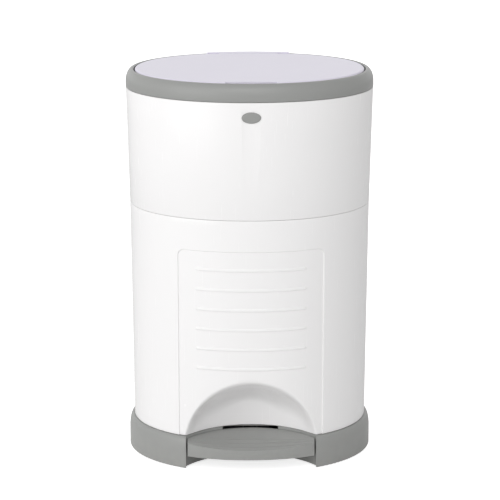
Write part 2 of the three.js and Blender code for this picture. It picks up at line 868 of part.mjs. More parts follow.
function cutterBlade() {
  const front = cutterFront() + cutterDepth - cutterSlotDepth + seatGap;
  const outline = [
    [front, cutterHeight - cutterBladeHalfHeight],
    [front + cutterBladeWidth, cutterHeight - cutterBladeHalfHeight / 3],
    [front + cutterBladeWidth, cutterHeight + cutterBladeHalfHeight / 3],
    [front, cutterHeight + cutterBladeHalfHeight],
  ];
  return pushAcross(outline, [cutterX - cutterBladeThickness / 2, cutterX + cutterBladeThickness / 2]);
}

// Upper shell, with the button's hole and the rear notch for the top's hinge

function upperShell() {
  const bottom = seamHeight + seatGap;
  const top = ringHeight - seatGap;
  const shell = bodyBand(bottom, top, 0, shellWall);
  const notch = box([-ringNotchHalf, ringNotchHalf], [ringPinY / 2, bodyTopHalfWidth], [ringNotchFloor, ringHeight + overrun]);
  const ears = [-1, 1].map((side) => {
    const near = side * (ringKnuckleHalf + runGap);
    const far = side * (ringKnuckleHalf + runGap + ringEarWidth);
    const x = [Math.min(near, far), Math.max(near, far)];
    const y = [ringPinY - ringKnuckle, ringPinY + ringKnuckle];
    return box(x, y, [ringNotchFloor - ringEarRoot, ringPinHeight])
      .add(crossBar(ringKnuckle, x, ringPinY, ringPinHeight, roundSides));
  });
  const pin = crossBar(ringPinRadius + seatGap, [-ringNotchHalf, ringNotchHalf], ringPinY, ringPinHeight);
  const hole = ellipsePlug(buttonHalfWidth + seatGap, buttonHalfHeight + seatGap, buttonHeight, [-bodyTopHalfWidth, 0]);
  return cutAll(joinAll([shell.subtract(notch), ...ears]), [pin, hole]);
}

// Shelf in the seam, which carries the refill and joins the two shells

function cassetteShelf() {
  const edge = bodyInnerSeam - runGap;
  const plateHalfWidth = edge - shelfRingWall - runGap;
  const ringBottom = seamHeight + seatGap + runGap / 2;
  const plate = ovalSolid([
    [0, shelfTop - shelfPlate],
    [plateHalfWidth, shelfTop - shelfPlate],
    [plateHalfWidth, ringBottom],
    [edge, ringBottom],
    [edge, shelfTop + shelfRingHeight],
    [edge - shelfRingWall, shelfTop + shelfRingHeight],
    [edge - shelfRingWall, shelfTop],
    [0, shelfTop],
  ]);
  const skirt = ovalSolid([
    [edge - shelfRingWall, shelfTop - shelfSkirt],
    [edge, shelfTop - shelfSkirt],
    [edge, shelfTop + runGap],
    [edge - shelfRingWall, shelfTop + runGap],
  ]).intersect(box(
    [-bodyTopHalfWidth, bodyTopHalfWidth],
    [splitY + knuckleRadius, bodyTopHalfWidth],
    [0, ringHeight],
  ));
  const web = ovalSolid([
    [plateHalfWidth - shelfRingWall, shelfTop - shelfPlate],
    [edge - shelfRingWall / 2, shelfTop - shelfPlate],
    [edge - shelfRingWall / 2, shelfTop],
    [plateHalfWidth - shelfRingWall, shelfTop],
  ]).intersect(box(
    [-bodyTopHalfWidth, bodyTopHalfWidth],
    [splitY + knuckleRadius, bodyTopHalfWidth],
    [0, ringHeight],
  ));
  const bagHole = uprightBar(shelfHole, 0, throatY, [0, ringHeight], innerSides);
  const rodHole = uprightBar(rodRadius + rodHoleGap, 0, rodY, [0, ringHeight]);
  return cutAll(joinAll([plate, skirt, web]), [bagHole, rodHole]);
}

function refillCassette() {
  const bottom = shelfTop + seatGap;
  const shell = turned([
    [cassetteBore, bottom],
    [cassetteRadius, bottom],
    [cassetteRadius, bottom + cassetteHeight],
    [cassetteRadius - cassetteWall, bottom + cassetteHeight],
    [cassetteRadius - cassetteWall, bottom + cassetteWall],
    [cassetteBore + cassetteWall, bottom + cassetteWall],
    [cassetteBore + cassetteWall, bottom + cassetteHeight + cassetteWall],
    [cassetteBore, bottom + cassetteHeight + cassetteWall],
  ], innerSides);
  return shell.translate([0, throatY, 0]);
}

function filmPack() {
  const bottom = shelfTop + 2 * seatGap + cassetteWall;
  const top = bottom + cassetteHeight - filmInset;
  const inner = cassetteBore + cassetteWall + seatGap;
  const outer = cassetteRadius - cassetteWall - seatGap;
  const middle = (inner + outer) / 2;
  const crown = top + cassetteWall;
  return turned([[inner, bottom], [outer, bottom], [outer, top], [middle, crown], [inner, top]], innerSides)
    .translate([0, throatY, 0]);
}

// Push rod with its guide above the shelf and its cover below

function pushRod() {
  const foot = armTipTop + seatGap + runGap;
  return turned([
    [0, foot],
    [rodRadius - rodFootRound, foot],
    [rodRadius, foot + rodFootRound],
    [rodRadius, rodTop - rodTipLength],
    [rodTipRadius, rodTop - rodTipLength],
    [rodTipRadius, rodTop],
    [0, rodTop],
  ], smallSides).translate([0, rodY, 0]);
}

function rodGuide() {
  const bore = rodRadius + rodHoleGap;
  return turned([
    [bore, shelfTop + seatGap],
    [guideFoot, shelfTop + seatGap],
    [guideFoot, shelfTop + guideWall],
    [bore + guideWall, shelfTop + 2 * guideWall],
    [bore + guideWall, guideTop],
    [bore, guideTop],
  ], roundSides).intersect(box([-guideFoot, guideFoot], [-guideFootFlat, guideFoot], [0, ringHeight]))
    .translate([0, rodY, 0]);
}

function rodCover() {
  const bottom = deckHeight + seatGap;
  const top = shelfTop - shelfPlate - seatGap;
  const front = rodY - coverReach;
  const outer = box([-coverHalfWidth, coverHalfWidth], [front, bodyTopHalfWidth], [bottom, top]);
  const inner = box(
    [-coverHalfWidth + coverWall, coverHalfWidth - coverWall],
    [front + coverWall, bodyTopHalfWidth],
    [0, ringHeight],
  );
  const skirtRoom = shelfSkirt + seatGap;
  const clear = bodyCore(shellWall + seatGap, deckHeight, shellTop);
  const relief = bodyBand(shelfTop - skirtRoom, shellTop, 0, shellWall + runGap + shelfRingWall + seatGap);
  return outer.subtract(inner).intersect(clear).subtract(relief);
}

// Top ring with the lid's ledge, trough, hinge lugs and finger tab

function ringSection() {
  const centre = ringHalfWidth - ringRound;
  const points = [];
  for (let i = 0; i <= ringRoundSteps; i += 1) {
    const angle = (Math.PI / 2) * (i / ringRoundSteps);
    points.push([centre + ringRound * Math.cos(angle), ridgeHeight - ringShoulder * (1 - Math.sin(angle))]);
  }
  const bottom = ringHeight + seatGap;
  const wallBack = ringInnerHalfWidth + ringWall;
  return [
    [ringHalfWidth, bottom],
    ...points,
    [ringInnerHalfWidth + ringLip, ridgeHeight - ringLip / 2],
    [ringInnerHalfWidth, ridgeHeight - ringLip],
    [ringInnerHalfWidth, bottom],
    [wallBack, bottom],
    [wallBack, ridgeHeight - 2 * ringWall],
    [ringHalfWidth - 2 * ringWall, ridgeHeight - ringShoulder / 2],
    [ringHalfWidth - ringWall, ridgeHeight - ringShoulder],
    [ringHalfWidth - ringWall, bottom],
  ];
}

function mouthVoid(grow, z) {
  const half = mouthHalfWidth + grow;
  return ovalSolid([[0, z[0]], [half, z[0]], [half, z[1]], [0, z[1]]]).translate([0, mouthY, 0]);
}

function ledge() {
  const edge = ringInnerHalfWidth + ringWall / 3;
  const bottom = ledgeHeight - ledgeThickness;
  const plate = ovalSolid([[0, bottom], [edge, bottom], [edge, ledgeHeight], [0, ledgeHeight]]);
  return plate.subtract(mouthVoid(0, [ringHeight, ridgeHeight]));
}

// Straight cover behind the lid that carries its hinge pins, notched for the lid's two tabs
function hingeCover() {
  const edge = ringInnerHalfWidth + ringWall / 3;
  return ovalSolid([
    [0, hingeCoverBottom],
    [edge, hingeCoverBottom],
    [edge, hingeCoverTop],
    [0, hingeCoverTop],
  ]).intersect(box([-edge, edge], [hingeCoverFront, edge], [ringHeight, ridgeHeight]));
}

function tabNotches() {
  return [-1, 1].map((side) => {
    const near = side * (lidTabX - runGap);
    const far = side * (lidTabX + lidTabWidth + runGap);
    const x = [Math.min(near, far), Math.max(near, far)];
    const reach = lidPinY + lidBarrel + runGap;
    return box(x, [lidRear, lidPinY], [hingeCoverBottom - runGap, ridgeHeight])
      .add(crossBar(lidBarrel + runGap, x, lidPinY, lidPinHeight, roundSides))
      .add(box(x, [lidPinY, reach], [lidPinHeight, ridgeHeight]));
  });
}

function ringLeaf() {
  const x = [-ringKnuckleHalf, ringKnuckleHalf];
  const leaf = box(x, [ringPinY - ringKnuckle / 2, ringPinY + ringKnuckle], [ringPinHeight, ringHeight + ringWall]);
  return leaf.add(crossBar(ringKnuckle, x, ringPinY, ringPinHeight, roundSides));
}

// Two ribs in the ring's front that hold the latch's pin
function latchRibs() {
  const near = latchHalfWidth + runGap;
  return [-1, 1].map((side) => {
    const x = [Math.min(side * near, side * (near + latchRib)), Math.max(side * near, side * (near + latchRib))];
    const y = [-halfDepth(ringHalfWidth) + ringWall / 2, -halfDepth(ringInnerHalfWidth) - ringWall / 2];
    return box(x, y, [latchPinHeight - 2 * latchBossRadius, ridgeHeight - ringRound]);
  });
}

// Sloped tab in the lid's notch, for a finger
function fingerTab() {
  const front = -halfDepth(ringInnerHalfWidth) - ringWall / 2;
  const back = -halfDepth(lidHalfWidth) + lidNotchDepth - 2 * runGap;
  const outline = [
    [front, ledgeHeight - ledgeThickness / 2],
    [back, ledgeHeight - ledgeThickness / 2],
    [back, ridgeHeight - 2 * ringWall],
    [front, ridgeHeight - ringLip],
  ];
  return pushAcross(outline, [-lidNotchHalf + 2 * runGap, lidNotchHalf - 2 * runGap]);
}

function topRing() {
  const whole = joinAll([ovalSolid(ringSection()), ledge(), hingeCover(), ringLeaf(), ...latchRibs(), fingerTab()]);
  const rodSlot = box([-rodSlotHalf, rodSlotHalf], [rodSlotFront, rodSlotRear], [ringHeight, hingeCoverBottom]);
  const lidPins = [-1, 1].map((side) => lidPinBar(side, lidPinRadius + seatGap, seatGap));
  const ringPin = crossBar(ringPinRadius + seatGap, [-ringNotchHalf, ringNotchHalf], ringPinY, ringPinHeight);
  const latchPin = crossBar(latchPinRadius + seatGap, [-lidNotchHalf, lidNotchHalf], latchPinY, latchPinHeight);
  return cutAll(whole, [rodSlot, ...tabNotches(), ...lidPins, ringPin, latchPin]);
}

function earBar(radius, y, height) {
  return crossBar(radius, [-ringKnuckleHalf - ringEarWidth, ringKnuckleHalf + ringEarWidth], y, height);
}

// Funnel that narrows from the oval ring to the round throat

function funnelRing(share, outset, height) {
  return Array.from({ length: shellSides }, (_, i) => {
    const angle = (2 * Math.PI * i) / shellSides;
    const oval = ovalPoint(mouthHalfWidth + outset, angle, height);
    oval.y += mouthY;
    const round = new THREE.Vector3(
      (throatRadius + outset) * Math.cos(angle),
      throatY + (throatRadius + outset) * Math.sin(angle),
      height,
    );
    return oval.lerp(round, share);
  });
}

function throatFunnel() {
  const top = ledgeHeight - ledgeThickness - seatGap;
  const inner = [];
  const outer = [];
  for (let i = 0; i <= funnelSteps; i += 1) {
    const share = i / funnelSteps;
    const bend = share ** funnelBendShare;
    const height = top + (throatTop - top) * (1 - (1 - share) ** (1 / funnelBendShare));
    inner.push(funnelRing(bend, 0, height));
    outer.push(funnelRing(bend, throatWall, height - throatWall * (1 - share)));
  }
  inner.push(funnelRing(1, 0, throatBottom));
  outer.push(funnelRing(1, throatWall, throatBottom));
  const flangeHalfWidth = ringInnerHalfWidth - runGap;
  const flange = [
    ovalRing(flangeHalfWidth, top - funnelFlange, shellSides),
    ovalRing(flangeHalfWidth, top, shellSides),
  ];
  const shell = skin([...inner, ...outer.reverse(), ...flange], true);
  const lugs = [-1, 1].flatMap((side) => [-1, 1].map((end) => flapLugBlock(side, end)));
  const slot = box([-rodSlotHalf, rodSlotHalf], [rodSlotFront, rodSlotRear], [throatTop, ringHeight + overrun]);
  const latchRoom = box(
    [-latchHalfWidth - latchRib, latchHalfWidth + latchRib],
    [-bodyTopHalfWidth, latchFront + 2 * latchThickness],
    [throatTop, ringHeight + seatGap],
  );
  return cutAll(joinAll([shell, ...lugs]), [slot, latchRoom]);
}

function flapLugBlock(side, end) {
  const y0 = throatY + end * (flapKnuckleHalf + runGap);
  const y1 = throatY + end * (flapKnuckleHalf + runGap + flapLug);
  const inner = side * (throatRadius - flapLug);
  const outer = side * (flapPinX + flapKnuckle);
  const x = [Math.min(inner, outer), Math.max(inner, outer)];
  const y = [Math.min(y0, y1), Math.max(y0, y1)];
  const bore = uprightBar(throatRadius + throatWall / 3, 0, throatY, [0, ringHeight], shellSides);
  const bodyPart = box(x, y, [throatBottom, throatTop - 2 * flapKnuckle]).subtract(bore);
  const eye = box(
    [side * flapPinX - flapKnuckle, side * flapPinX + flapKnuckle],
    y,
    [flapPinHeight, throatBottom + throatWall],
  ).add(deepBar(flapKnuckle, side * flapPinX, y, flapPinHeight));
  return bodyPart.add(eye).subtract(deepBar(flapPinRadius + seatGap, side * flapPinX, [y[0] - overrun, y[1] + overrun], flapPinHeight));
}

function flapDoor(side) {
  const plateTop = throatBottom - flapGap;
  const plateRadius = throatRadius + throatWall - 2 * runGap;
  const disc = uprightBar(plateRadius, 0, throatY, [plateTop - flapThickness, plateTop], innerSides);
  const half = box(
    [Math.min(side * seatGap, side * bodyTopHalfWidth), Math.max(side * seatGap, side * bodyTopHalfWidth)],
    [-bodyTopHalfWidth, bodyTopHalfWidth],
    [0, ringHeight],
  );
  const y = [throatY - flapKnuckleHalf, throatY + flapKnuckleHalf];
  const reach = side * (plateRadius - flapLug);
  const tongueX = [Math.min(reach, side * flapPinX), Math.max(reach, side * flapPinX)];
  const tongue = box(tongueX, y, [plateTop - flapThickness, plateTop - runGap]);
  const barrel = deepBar(flapKnuckle, side * flapPinX, y, flapPinHeight);
  const pinHole = deepBar(flapPinRadius + seatGap, side * flapPinX, [y[0] - overrun, y[1] + overrun], flapPinHeight);
  const springRoom = deepBar(
    flapKnuckle + flapSpringWire,
    side * flapPinX,
    [throatY - springHalf(flapSpringWire, flapSpringCurls), throatY + springHalf(flapSpringWire, flapSpringCurls)],
    flapPinHeight,
  );
  return cutAll(joinAll([disc.intersect(half), tongue, barrel]), [pinHole, springRoom]);
}

function springHalf(wire, curls) {
  return wire * (curls + 1) + runGap;
}

function flapPin(side) {
  const reach = flapKnuckleHalf + runGap + flapLug;
  return deepBar(flapPinRadius, side * flapPinX, [throatY - reach, throatY + reach], flapPinHeight);
}

function flapSpring(side) {
  const radius = flapPinRadius + seatGap + flapSpringWire / 2;
  const centre = new THREE.Vector3(0, 0, 0);
  const wound = coil(side < 0 ? 'flap_spring_left' : 'flap_spring_right', radius, flapSpringWire, flapSpringCurls, centre);
  return wound.rotate([0, 0, 90]).translate([side * flapPinX, throatY, flapPinHeight]);
}

// Wiper seal round the top of the throat
function throatSeal() {
  const bottom = throatBottom + throatSealHeight;
  const outer = throatRadius - 2 * seatGap;
  return turned([
    [outer - throatSealWidth, bottom + throatSealHeight],
    [outer, bottom],
    [outer, bottom + throatSealHeight],
    [outer - throatSealWidth, bottom + 1.5 * throatSealHeight],
  ], innerSides).translate([0, throatY, 0]);
}

// Lid with its liner, seal, hinge ears and lever

function lidNotch(grow) {
  const back = -halfDepth(lidHalfWidth) + lidNotchDepth + grow;
  return box([-lidNotchHalf - grow, lidNotchHalf + grow], [-bodyTopHalfWidth, back], [0, ridgeHeight + overrun]);
}

// Everything in front of a depth, between two heights
function inFrontOf(y) {
  return box([-bodyTopHalfWidth, bodyTopHalfWidth], [-bodyTopHalfWidth, y], [0, ridgeHeight + overrun]);
}

function lidPanel() {
  const under = lidEdgeHeight - lidPlate;
  const skirtBottom = lidEdgeHeight - lidSkirt;
  const inner = lidHalfWidth - lidSkirtWall;
  const outside = ovalSolid([
    [0, lidEdgeHeight + lidDome],
    [lidHalfWidth * lidCrownAt, lidEdgeHeight + lidDome * lidCrownShare],
    [lidHalfWidth - lidEdgeRound, lidEdgeHeight],
    [lidHalfWidth, lidEdgeHeight - lidEdgeRound],
    [lidHalfWidth, skirtBottom],
    [0, skirtBottom],
  ]).intersect(inFrontOf(lidRear)).subtract(lidNotch(0));
  const hollow = ovalSolid([[0, under], [inner, under], [inner, skirtBottom - overrun], [0, skirtBottom - overrun]])
    .intersect(inFrontOf(lidRear - lidSkirtWall)).subtract(lidNotch(lidSkirtWall));
  const tabs = [-1, 1].map((side) => {
    const x = [Math.min(side * lidTabX, side * (lidTabX + lidTabWidth)), Math.max(side * lidTabX, side * (lidTabX + lidTabWidth))];
    return box(x, [lidRear - lidSkirtWall / 2, lidPinY], [lidPinHeight - lidBarrel, lidPinHeight + lidBarrel])
      .add(crossBar(lidBarrel, x, lidPinY, lidPinHeight, roundSides));
  });
  const pins = [-1, 1].map((side) => lidPinBar(side, lidPinRadius + seatGap, seatGap));
  return cutAll(joinAll([outside.subtract(hollow), ...tabs]), pins);
}

function lidLiner() {
  const top = lidEdgeHeight - lidPlate - seatGap;
  const bottom = ledgeHeight + linerRise;
  const outer = mouthHalfWidth + linerBorder;
  const inner = outer - 2 * linerWall;
  const tray = ovalSolid([[0, bottom], [inner, bottom], [outer, bottom + linerWall], [outer, top], [0, top]], innerSides)
    .translate([0, mouthY, 0]).intersect(inFrontOf(sealRear - sealWidth - seatGap));
  const hollow = ovalSolid([[0, bottom + linerWall], [inner - linerWall, bottom + linerWall], [inner, top + linerWall], [0, top + linerWall]], innerSides)
    .translate([0, mouthY, 0]).intersect(inFrontOf(sealRear - sealWidth - seatGap - linerWall));
  return tray.subtract(hollow);
}

function lidSeal() {
  const top = lidEdgeHeight - lidPlate - seatGap;
  const bottom = ledgeHeight + seatGap;
  const inner = mouthHalfWidth + sealBorder;
  const outer = inner + sealWidth;
  const outside = ovalSolid([[0, bottom], [outer - sealTaper, bottom], [outer, top], [0, top]])
    .translate([0, mouthY, 0]).intersect(inFrontOf(sealRear));
  const hollow = ovalSolid([[0, bottom - overrun], [inner, bottom - overrun], [inner, top + overrun], [0, top + overrun]])
    .translate([0, mouthY, 0]).intersect(inFrontOf(sealRear - sealWidth + runGap));
  return outside.subtract(hollow);
}

// Lever under the lid: the push rod lifts its round tip
function lidLever() {
  const top = lidEdgeHeight - lidPlate - seatGap;
  const tipHeight = lidPinHeight - leverDrop;
  const x = [-lidLeverHalfWidth, lidLeverHalfWidth];
  const stem = box(x, [rodY - leverTipRadius, rodY + leverTipRadius], [tipHeight, top]);
  const foot = box(x, [sealRear + runGap, lidRear - lidSkirtWall - runGap], [top - leverTipRadius, top]);
  return joinAll([stem, foot, crossBar(leverTipRadius, x, rodY, tipHeight)]);
}

function lidPinBar(side, radius, grow) {
  const near = side * (lidTabX - lidPinReach - grow);
  const far = side * (lidTabX + lidTabWidth + lidPinReach + grow);
  return crossBar(radius, [Math.min(near, far), Math.max(near, far)], lidPinY, lidPinHeight);
}

// Release button, its rails and the latch that it pushes

function buttonFace() {
  return -halfDepth(bodyHalfWidth(buttonHeight));
}

function releaseButton() {
  const front = buttonFace() - buttonProud;
  const flangeFront = buttonFace() + shellWall + 2 * runGap;
  const flangeBack = flangeFront + buttonFlangeThickness;
  const shoulderFront = front + buttonProud;
  const face = ellipsePlug(buttonHalfWidth - buttonProud, buttonHalfHeight - buttonProud, buttonHeight, [front, shoulderFront]);
  const plug = ellipsePlug(buttonHalfWidth, buttonHalfHeight, buttonHeight, [front + buttonProud / 2, flangeBack]);
  const flange = ellipsePlug(
    buttonHalfWidth + buttonFlange,
    buttonHalfHeight + buttonFlange,
    buttonHeight,
    [flangeFront, flangeBack],
  );
  const stem = deepBar(buttonStemRadius, 0, [flangeFront, latchFront - runGap], buttonHeight);
  return joinAll([face, plug, flange, stem]);
}

function buttonGuide() {
  const inner = buttonHalfWidth + buttonFlange + runGap;
  const front = -halfDepth(bodyHalfWidth(buttonHeight) - shellWall) - shellWall;
  const bottom = buttonHeight - buttonHalfHeight - buttonFlange - runGap;
  const back = buttonFace() + shellWall + runGap + guideRailReach;
  const outer = box(
    [-inner - guideRail, inner + guideRail],
    [front, back],
    [bottom - guideRail, buttonHeight + buttonHalfHeight],
  );
  const room = box([-inner, inner], [front, back + overrun], [bottom, buttonHeight + overrun]);
  return outer.subtract(room).intersect(bodyCore(shellWall + seatGap, seamHeight, ringHeight));
}

function latchArm() {
  const back = latchPinY + latchBossRadius / 2;
  const outline = [
    [latchPinY - latchBossRadius, latchPinHeight],
    [latchPinY - latchBossRadius, latchJogTop - latchJog],
    [latchFront, latchJogTop - latchJog],
    [latchFront, latchBarbTop],
    [latchFront - latchBarbReach, latchBarbTop],
    [latchFront, latchBarbTop - latchBarbDrop],
    [latchFront, latchBottom],
    [latchFront + latchThickness, latchBottom],
    [latchFront + latchThickness, latchJogTop],
    [back, latchJogTop],
    [back, latchPinHeight],
  ];
  const x = [-latchHalfWidth, latchHalfWidth];
  const arm = pushAcross(outline, x).add(crossBar(latchBossRadius, x, latchPinY, latchPinHeight));
  return arm.subtract(crossBar(latchPinRadius + seatGap, [x[0] - overrun, x[1] + overrun], latchPinY, latchPinHeight));
}

function latchPin() {
  const reach = latchHalfWidth + runGap + latchRib;
  return crossBar(latchPinRadius, [-reach, reach], latchPinY, latchPinHeight);
}

// Pedal: a hollow tread on a lever that pivots in the base

// Depth of the tread's back and front at an x, and the height of its top along the front
function treadRear(x, inset) {
  return biteCentreY + Math.sqrt((treadRadius - inset) ** 2 - x * x);
}

function treadFront(x, inset) {
  return -faceDepth(treadRimHalfWidth - inset, x);
}

function treadRim(x) {
  return treadFrontTop + (treadSideTop - treadFrontTop) * (x / treadHalfWidth) ** 2;
}

// Height of the tread's top, which is level round its back and falls to its front
function treadHeight(x, y) {
  const share = (treadRear(x, 0) - y) / (treadRear(x, 0) - treadFront(x, 0));
  return treadRearTop + (treadRim(x) - treadRearTop) * share;
}

// Tread between its top and its bottom, or the hollow inside it, in slices across
function treadBlock(inset, topInset, sink) {
  const half = treadHalfWidth - inset;
  const slices = Array.from({ length: treadSteps + 1 }, (_, i) => {
    const x = half * ((2 * i) / treadSteps - 1);
    const rear = treadRear(x, inset);
    const front = treadFront(x, inset);
    return [
      new THREE.Vector3(x, front, treadFrontLow - sink),
      new THREE.Vector3(x, rear, treadRearLow - sink),
      new THREE.Vector3(x, rear, treadHeight(x, rear) - topInset),
      new THREE.Vector3(x, front, treadHeight(x, front) - topInset),
    ];
  });
  const middle = (slice) => slice.reduce((sum, point) => sum.add(point), new THREE.Vector3()).divideScalar(slice.length);
  const ends = [slices[0], slices[treadSteps]].map((slice) => [middle(slice)]);
  return skin([ends[0], ...slices, ends[1]], false);
}

// Ridges that follow the front edge, to grip the shoe
function treadGrips() {
  const above = treadBlock(treadWall, -gripHeight, 0).subtract(treadBlock(0, treadWall / 2, overrun));
  return Array.from({ length: gripCount }, (_, i) => {
    const outer = treadRimHalfWidth - (i + 1) * gripPitch;
    return ovalSolid([
      [outer, treadFrontTop - treadWall],
      [outer, deckHeight + overrun],
      [outer - gripWidth, deckHeight + overrun],
      [outer - gripWidth, treadFrontTop - treadWall],
    ]).intersect(above);
  });
}

function pedalTread() {
  const block = treadBlock(0, 0, 0);
  const hollow = treadBlock(treadWall, treadWall, overrun);
  const bosses = pedalScrewPlaces().map(([x, y]) => uprightBar(pedalBossRadius, x, y, [leverTop(y + pedalBossRadius) + seatGap, treadHeight(x, y) - treadWall / 2]));
  const leverRoom = box(
    [-leverHalfWidth - runGap, leverHalfWidth + runGap],
    [biteBack - 4 * treadWall, biteBack + overrun],
    [-overrun, treadRearTop - treadWall],
  );
  const screws = pedalScrewPlaces().map(([x, y]) => uprightBar(screwRadius + seatGap, x, y, [0, pedalScrewTip(x, y) + seatGap]));
  return cutAll(joinAll([block.subtract(hollow), ...treadGrips(), ...bosses]), [leverRoom, ...screws]);
}

function pedalScrewPlaces() {
  return [-1, 1].map((side) => [side * pedalScrewX, pedalScrewY]);
}

function pedalScrewTip(x, y) {
  return treadHeight(x, y) - treadWall / 2;
}

// Top of the lever's plate under the tread
function leverTop(y) {
  return treadHeight(0, y) - treadWall - seatGap - leverPlateGap;
}

function pedalLever() {
  const wallY = biteBack - 2 * treadWall;
  const plate = pushAcross([
    [leverFront, leverTop(leverFront)],
    [leverFront, leverTop(leverFront) - leverPlate],
    [wallY, leverTop(wallY) - leverPlate],
    [pivotY, pivotHeight - leverBarrelRadius / 2],
    [pivotY, pivotHeight + leverBarrelRadius / 2],
    [wallY, leverTop(wallY)],
  ], [-leverHalfWidth, leverHalfWidth]);
  const tip = rodY + armTipReach;
  const arm = pushAcross([
    [pivotY, pivotHeight - leverBarrelRadius / 2],
    [tip, armTipTop - armDepth],
    [tip, armTipTop],
    [rodY - armTipReach, armTipTop],
    [pivotY, pivotHeight + leverBarrelRadius / 2],
  ], [-armHalfWidth, armHalfWidth]);
  const barrel = crossBar(leverBarrelRadius, [-leverHalfWidth, leverHalfWidth], pivotY, pivotHeight, roundSides);
  const bore = crossBar(pivotPinRadius + seatGap, [-2 * leverHalfWidth, 2 * leverHalfWidth], pivotY, pivotHeight);
  const screws = pedalScrewPlaces().map(([x, y]) => uprightBar(screwRadius + seatGap, x, y, [0, deckHeight]));
  return cutAll(joinAll([plate, arm, barrel]), [bore, ...screws, pedalSpringRoom()]);
}

// Notch in the lever's barrel where the return spring sits on the pin
function pedalSpringRoom() {
  const half = springHalf(springWire, springCurls);
  const middle = leverHalfWidth / 2 + armHalfWidth / 2;
  return box(
    [middle - half, middle + half],
    [pivotY - leverBarrelRadius - runGap, pivotY + leverBarrelRadius + runGap],
    [0, deckHeight],
  );
}

function pedalSpring() {
  const middle = leverHalfWidth / 2 + armHalfWidth / 2;
  const radius = pivotPinRadius + runGap + springWire / 2;
  return coil('pedal_spring', radius, springWire, springCurls, new THREE.Vector3(middle, pivotY, pivotHeight));
}

function pedalPin() {
  const reach = slotHalfWidth + runGap + pivotBracketWall;
  return crossBar(pivotPinRadius, [-reach, reach], pivotY, pivotHeight);
}

function pedalScrew(side) {
  const x = side * pedalScrewX;
  const slope = ((treadRearTop - treadFrontTop) / (treadRear(0, 0) - treadFront(0, 0))) * screwHeadRadius;
  const headTop = leverTop(pedalScrewY) - leverPlate - seatGap - slope;
  return screw(x, pedalScrewY, headTop, pedalScrewTip(x, pedalScrewY) - headTop);
}

// Assembly

const bin = new THREE.Group();

function piece(name, solid, finish) {
  const mesh = new THREE.Mesh(geometryOf(solid), new THREE.MeshStandardMaterial(finish));
  mesh.name = name;
  bin.add(mesh);
}

piece('base_plinth', basePlinth(), greyPlastic);
padPlaces().forEach(([x, y], i) => {
  piece(`foot_pad_${i + 1}`, uprightBar(padRadius, x, y, [0, padHeight], roundSides), darkRubber);
});
piece('lower_rear_shell', lowerRearShell(), whitePlastic);
screwPlaces().forEach(([x, y], i) => {
  piece(`base_screw_${i + 1}`, screw(x, y, deckHeight - plinthWall - seatGap, screwLength), steel);
});
piece('upper_shell', upperShell(), whitePlastic);
piece('cassette_shelf', cassetteShelf(), innerPlastic);
piece('refill_cassette', refillCassette(), innerPlastic);
piece('film_pack', filmPack(), film);
piece('rod_guide', rodGuide(), innerPlastic);
piece('rod_cover', rodCover(), innerPlastic);
piece('button_guide', buttonGuide(), innerPlastic);
piece('pedal_pin', pedalPin(), steel);
piece('pedal_spring', pedalSpring(), steel);
[lowHingeHeight, highHingeHeight].forEach((height, i) => {
  const half = 1.5 * knuckleLength;
  piece(`door_pin_${i + 1}`, uprightBar(doorPinRadius, doorPinX, splitY, [height - half, height + half]), steel);
});
piece('top_hinge_pin', earBar(ringPinRadius, ringPinY, ringPinHeight), steel);

piece('top_ring', topRing(), greyPlastic);
piece('throat_funnel', throatFunnel(), whitePlastic);
piece('throat_seal', throatSeal(), paleRubber);
piece('latch_pin', latchPin(), steel);
piece('latch_arm', latchArm(), innerPlastic);

piece('lid_panel', lidPanel(), lidPlastic);
piece('lid_liner', lidLiner(), innerPlastic);
piece('lid_seal', lidSeal(), paleRubber);
piece('lid_lever', lidLever(), innerPlastic);

piece('push_rod', pushRod(), steel);
piece('pedal_tread', pedalTread(), greyPlastic);
piece('pedal_lever', pedalLever(), steel);
piece('release_button', releaseButton(), greyPlastic);

piece('front_door', frontDoor(), whitePlastic);
piece('door_catch', doorCatch(), innerPlastic);
piece('cutter_housing', cutterHousing(), greyPlastic);
piece('cutter_blade', cutterBlade(), steel);

[[-1, 'left'], [1, 'right']].forEach(([side, hand]) => {
  piece(`lid_pin_${hand}`, lidPinBar(side, lidPinRadius, 0), steel);
  piece(`flap_${hand}`, flapDoor(side), innerPlastic);
  piece(`flap_pin_${hand}`, flapPin(side), steel);
  piece(`flap_spring_${hand}`, flapSpring(side), steel);
  piece(`pedal_screw_${hand}`, pedalScrew(side), steel);
});

export default bin;
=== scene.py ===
"""Nappy bin: detailed pieces, finishes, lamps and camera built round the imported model."""

import json
import math

import bpy
from bpy.props import FloatProperty, FloatVectorProperty, IntProperty, PointerProperty
from mathutils import Matrix, Vector


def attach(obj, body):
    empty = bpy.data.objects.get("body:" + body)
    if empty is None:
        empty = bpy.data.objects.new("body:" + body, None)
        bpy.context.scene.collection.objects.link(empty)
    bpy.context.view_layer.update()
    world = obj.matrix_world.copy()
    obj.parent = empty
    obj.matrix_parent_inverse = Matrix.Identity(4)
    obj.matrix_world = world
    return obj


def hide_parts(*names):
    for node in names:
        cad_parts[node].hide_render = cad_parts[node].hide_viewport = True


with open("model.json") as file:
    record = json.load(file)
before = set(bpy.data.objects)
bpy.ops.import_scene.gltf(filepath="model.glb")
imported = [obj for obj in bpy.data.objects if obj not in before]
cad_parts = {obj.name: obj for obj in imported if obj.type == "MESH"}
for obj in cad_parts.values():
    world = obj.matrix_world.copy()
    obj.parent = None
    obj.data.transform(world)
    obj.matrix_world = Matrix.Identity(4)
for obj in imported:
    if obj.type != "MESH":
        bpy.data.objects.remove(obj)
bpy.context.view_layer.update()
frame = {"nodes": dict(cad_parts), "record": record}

bl_info = {
    "name": "Nappy bin",
    "version": (1, 0, 0),
    "blender": (4, 5, 0),
    "location": "3D View > Sidebar > Nappy Bin",
    "description": "Models the pieces of a pedal nappy bin round its packed frame",
    "category": "Object",
}

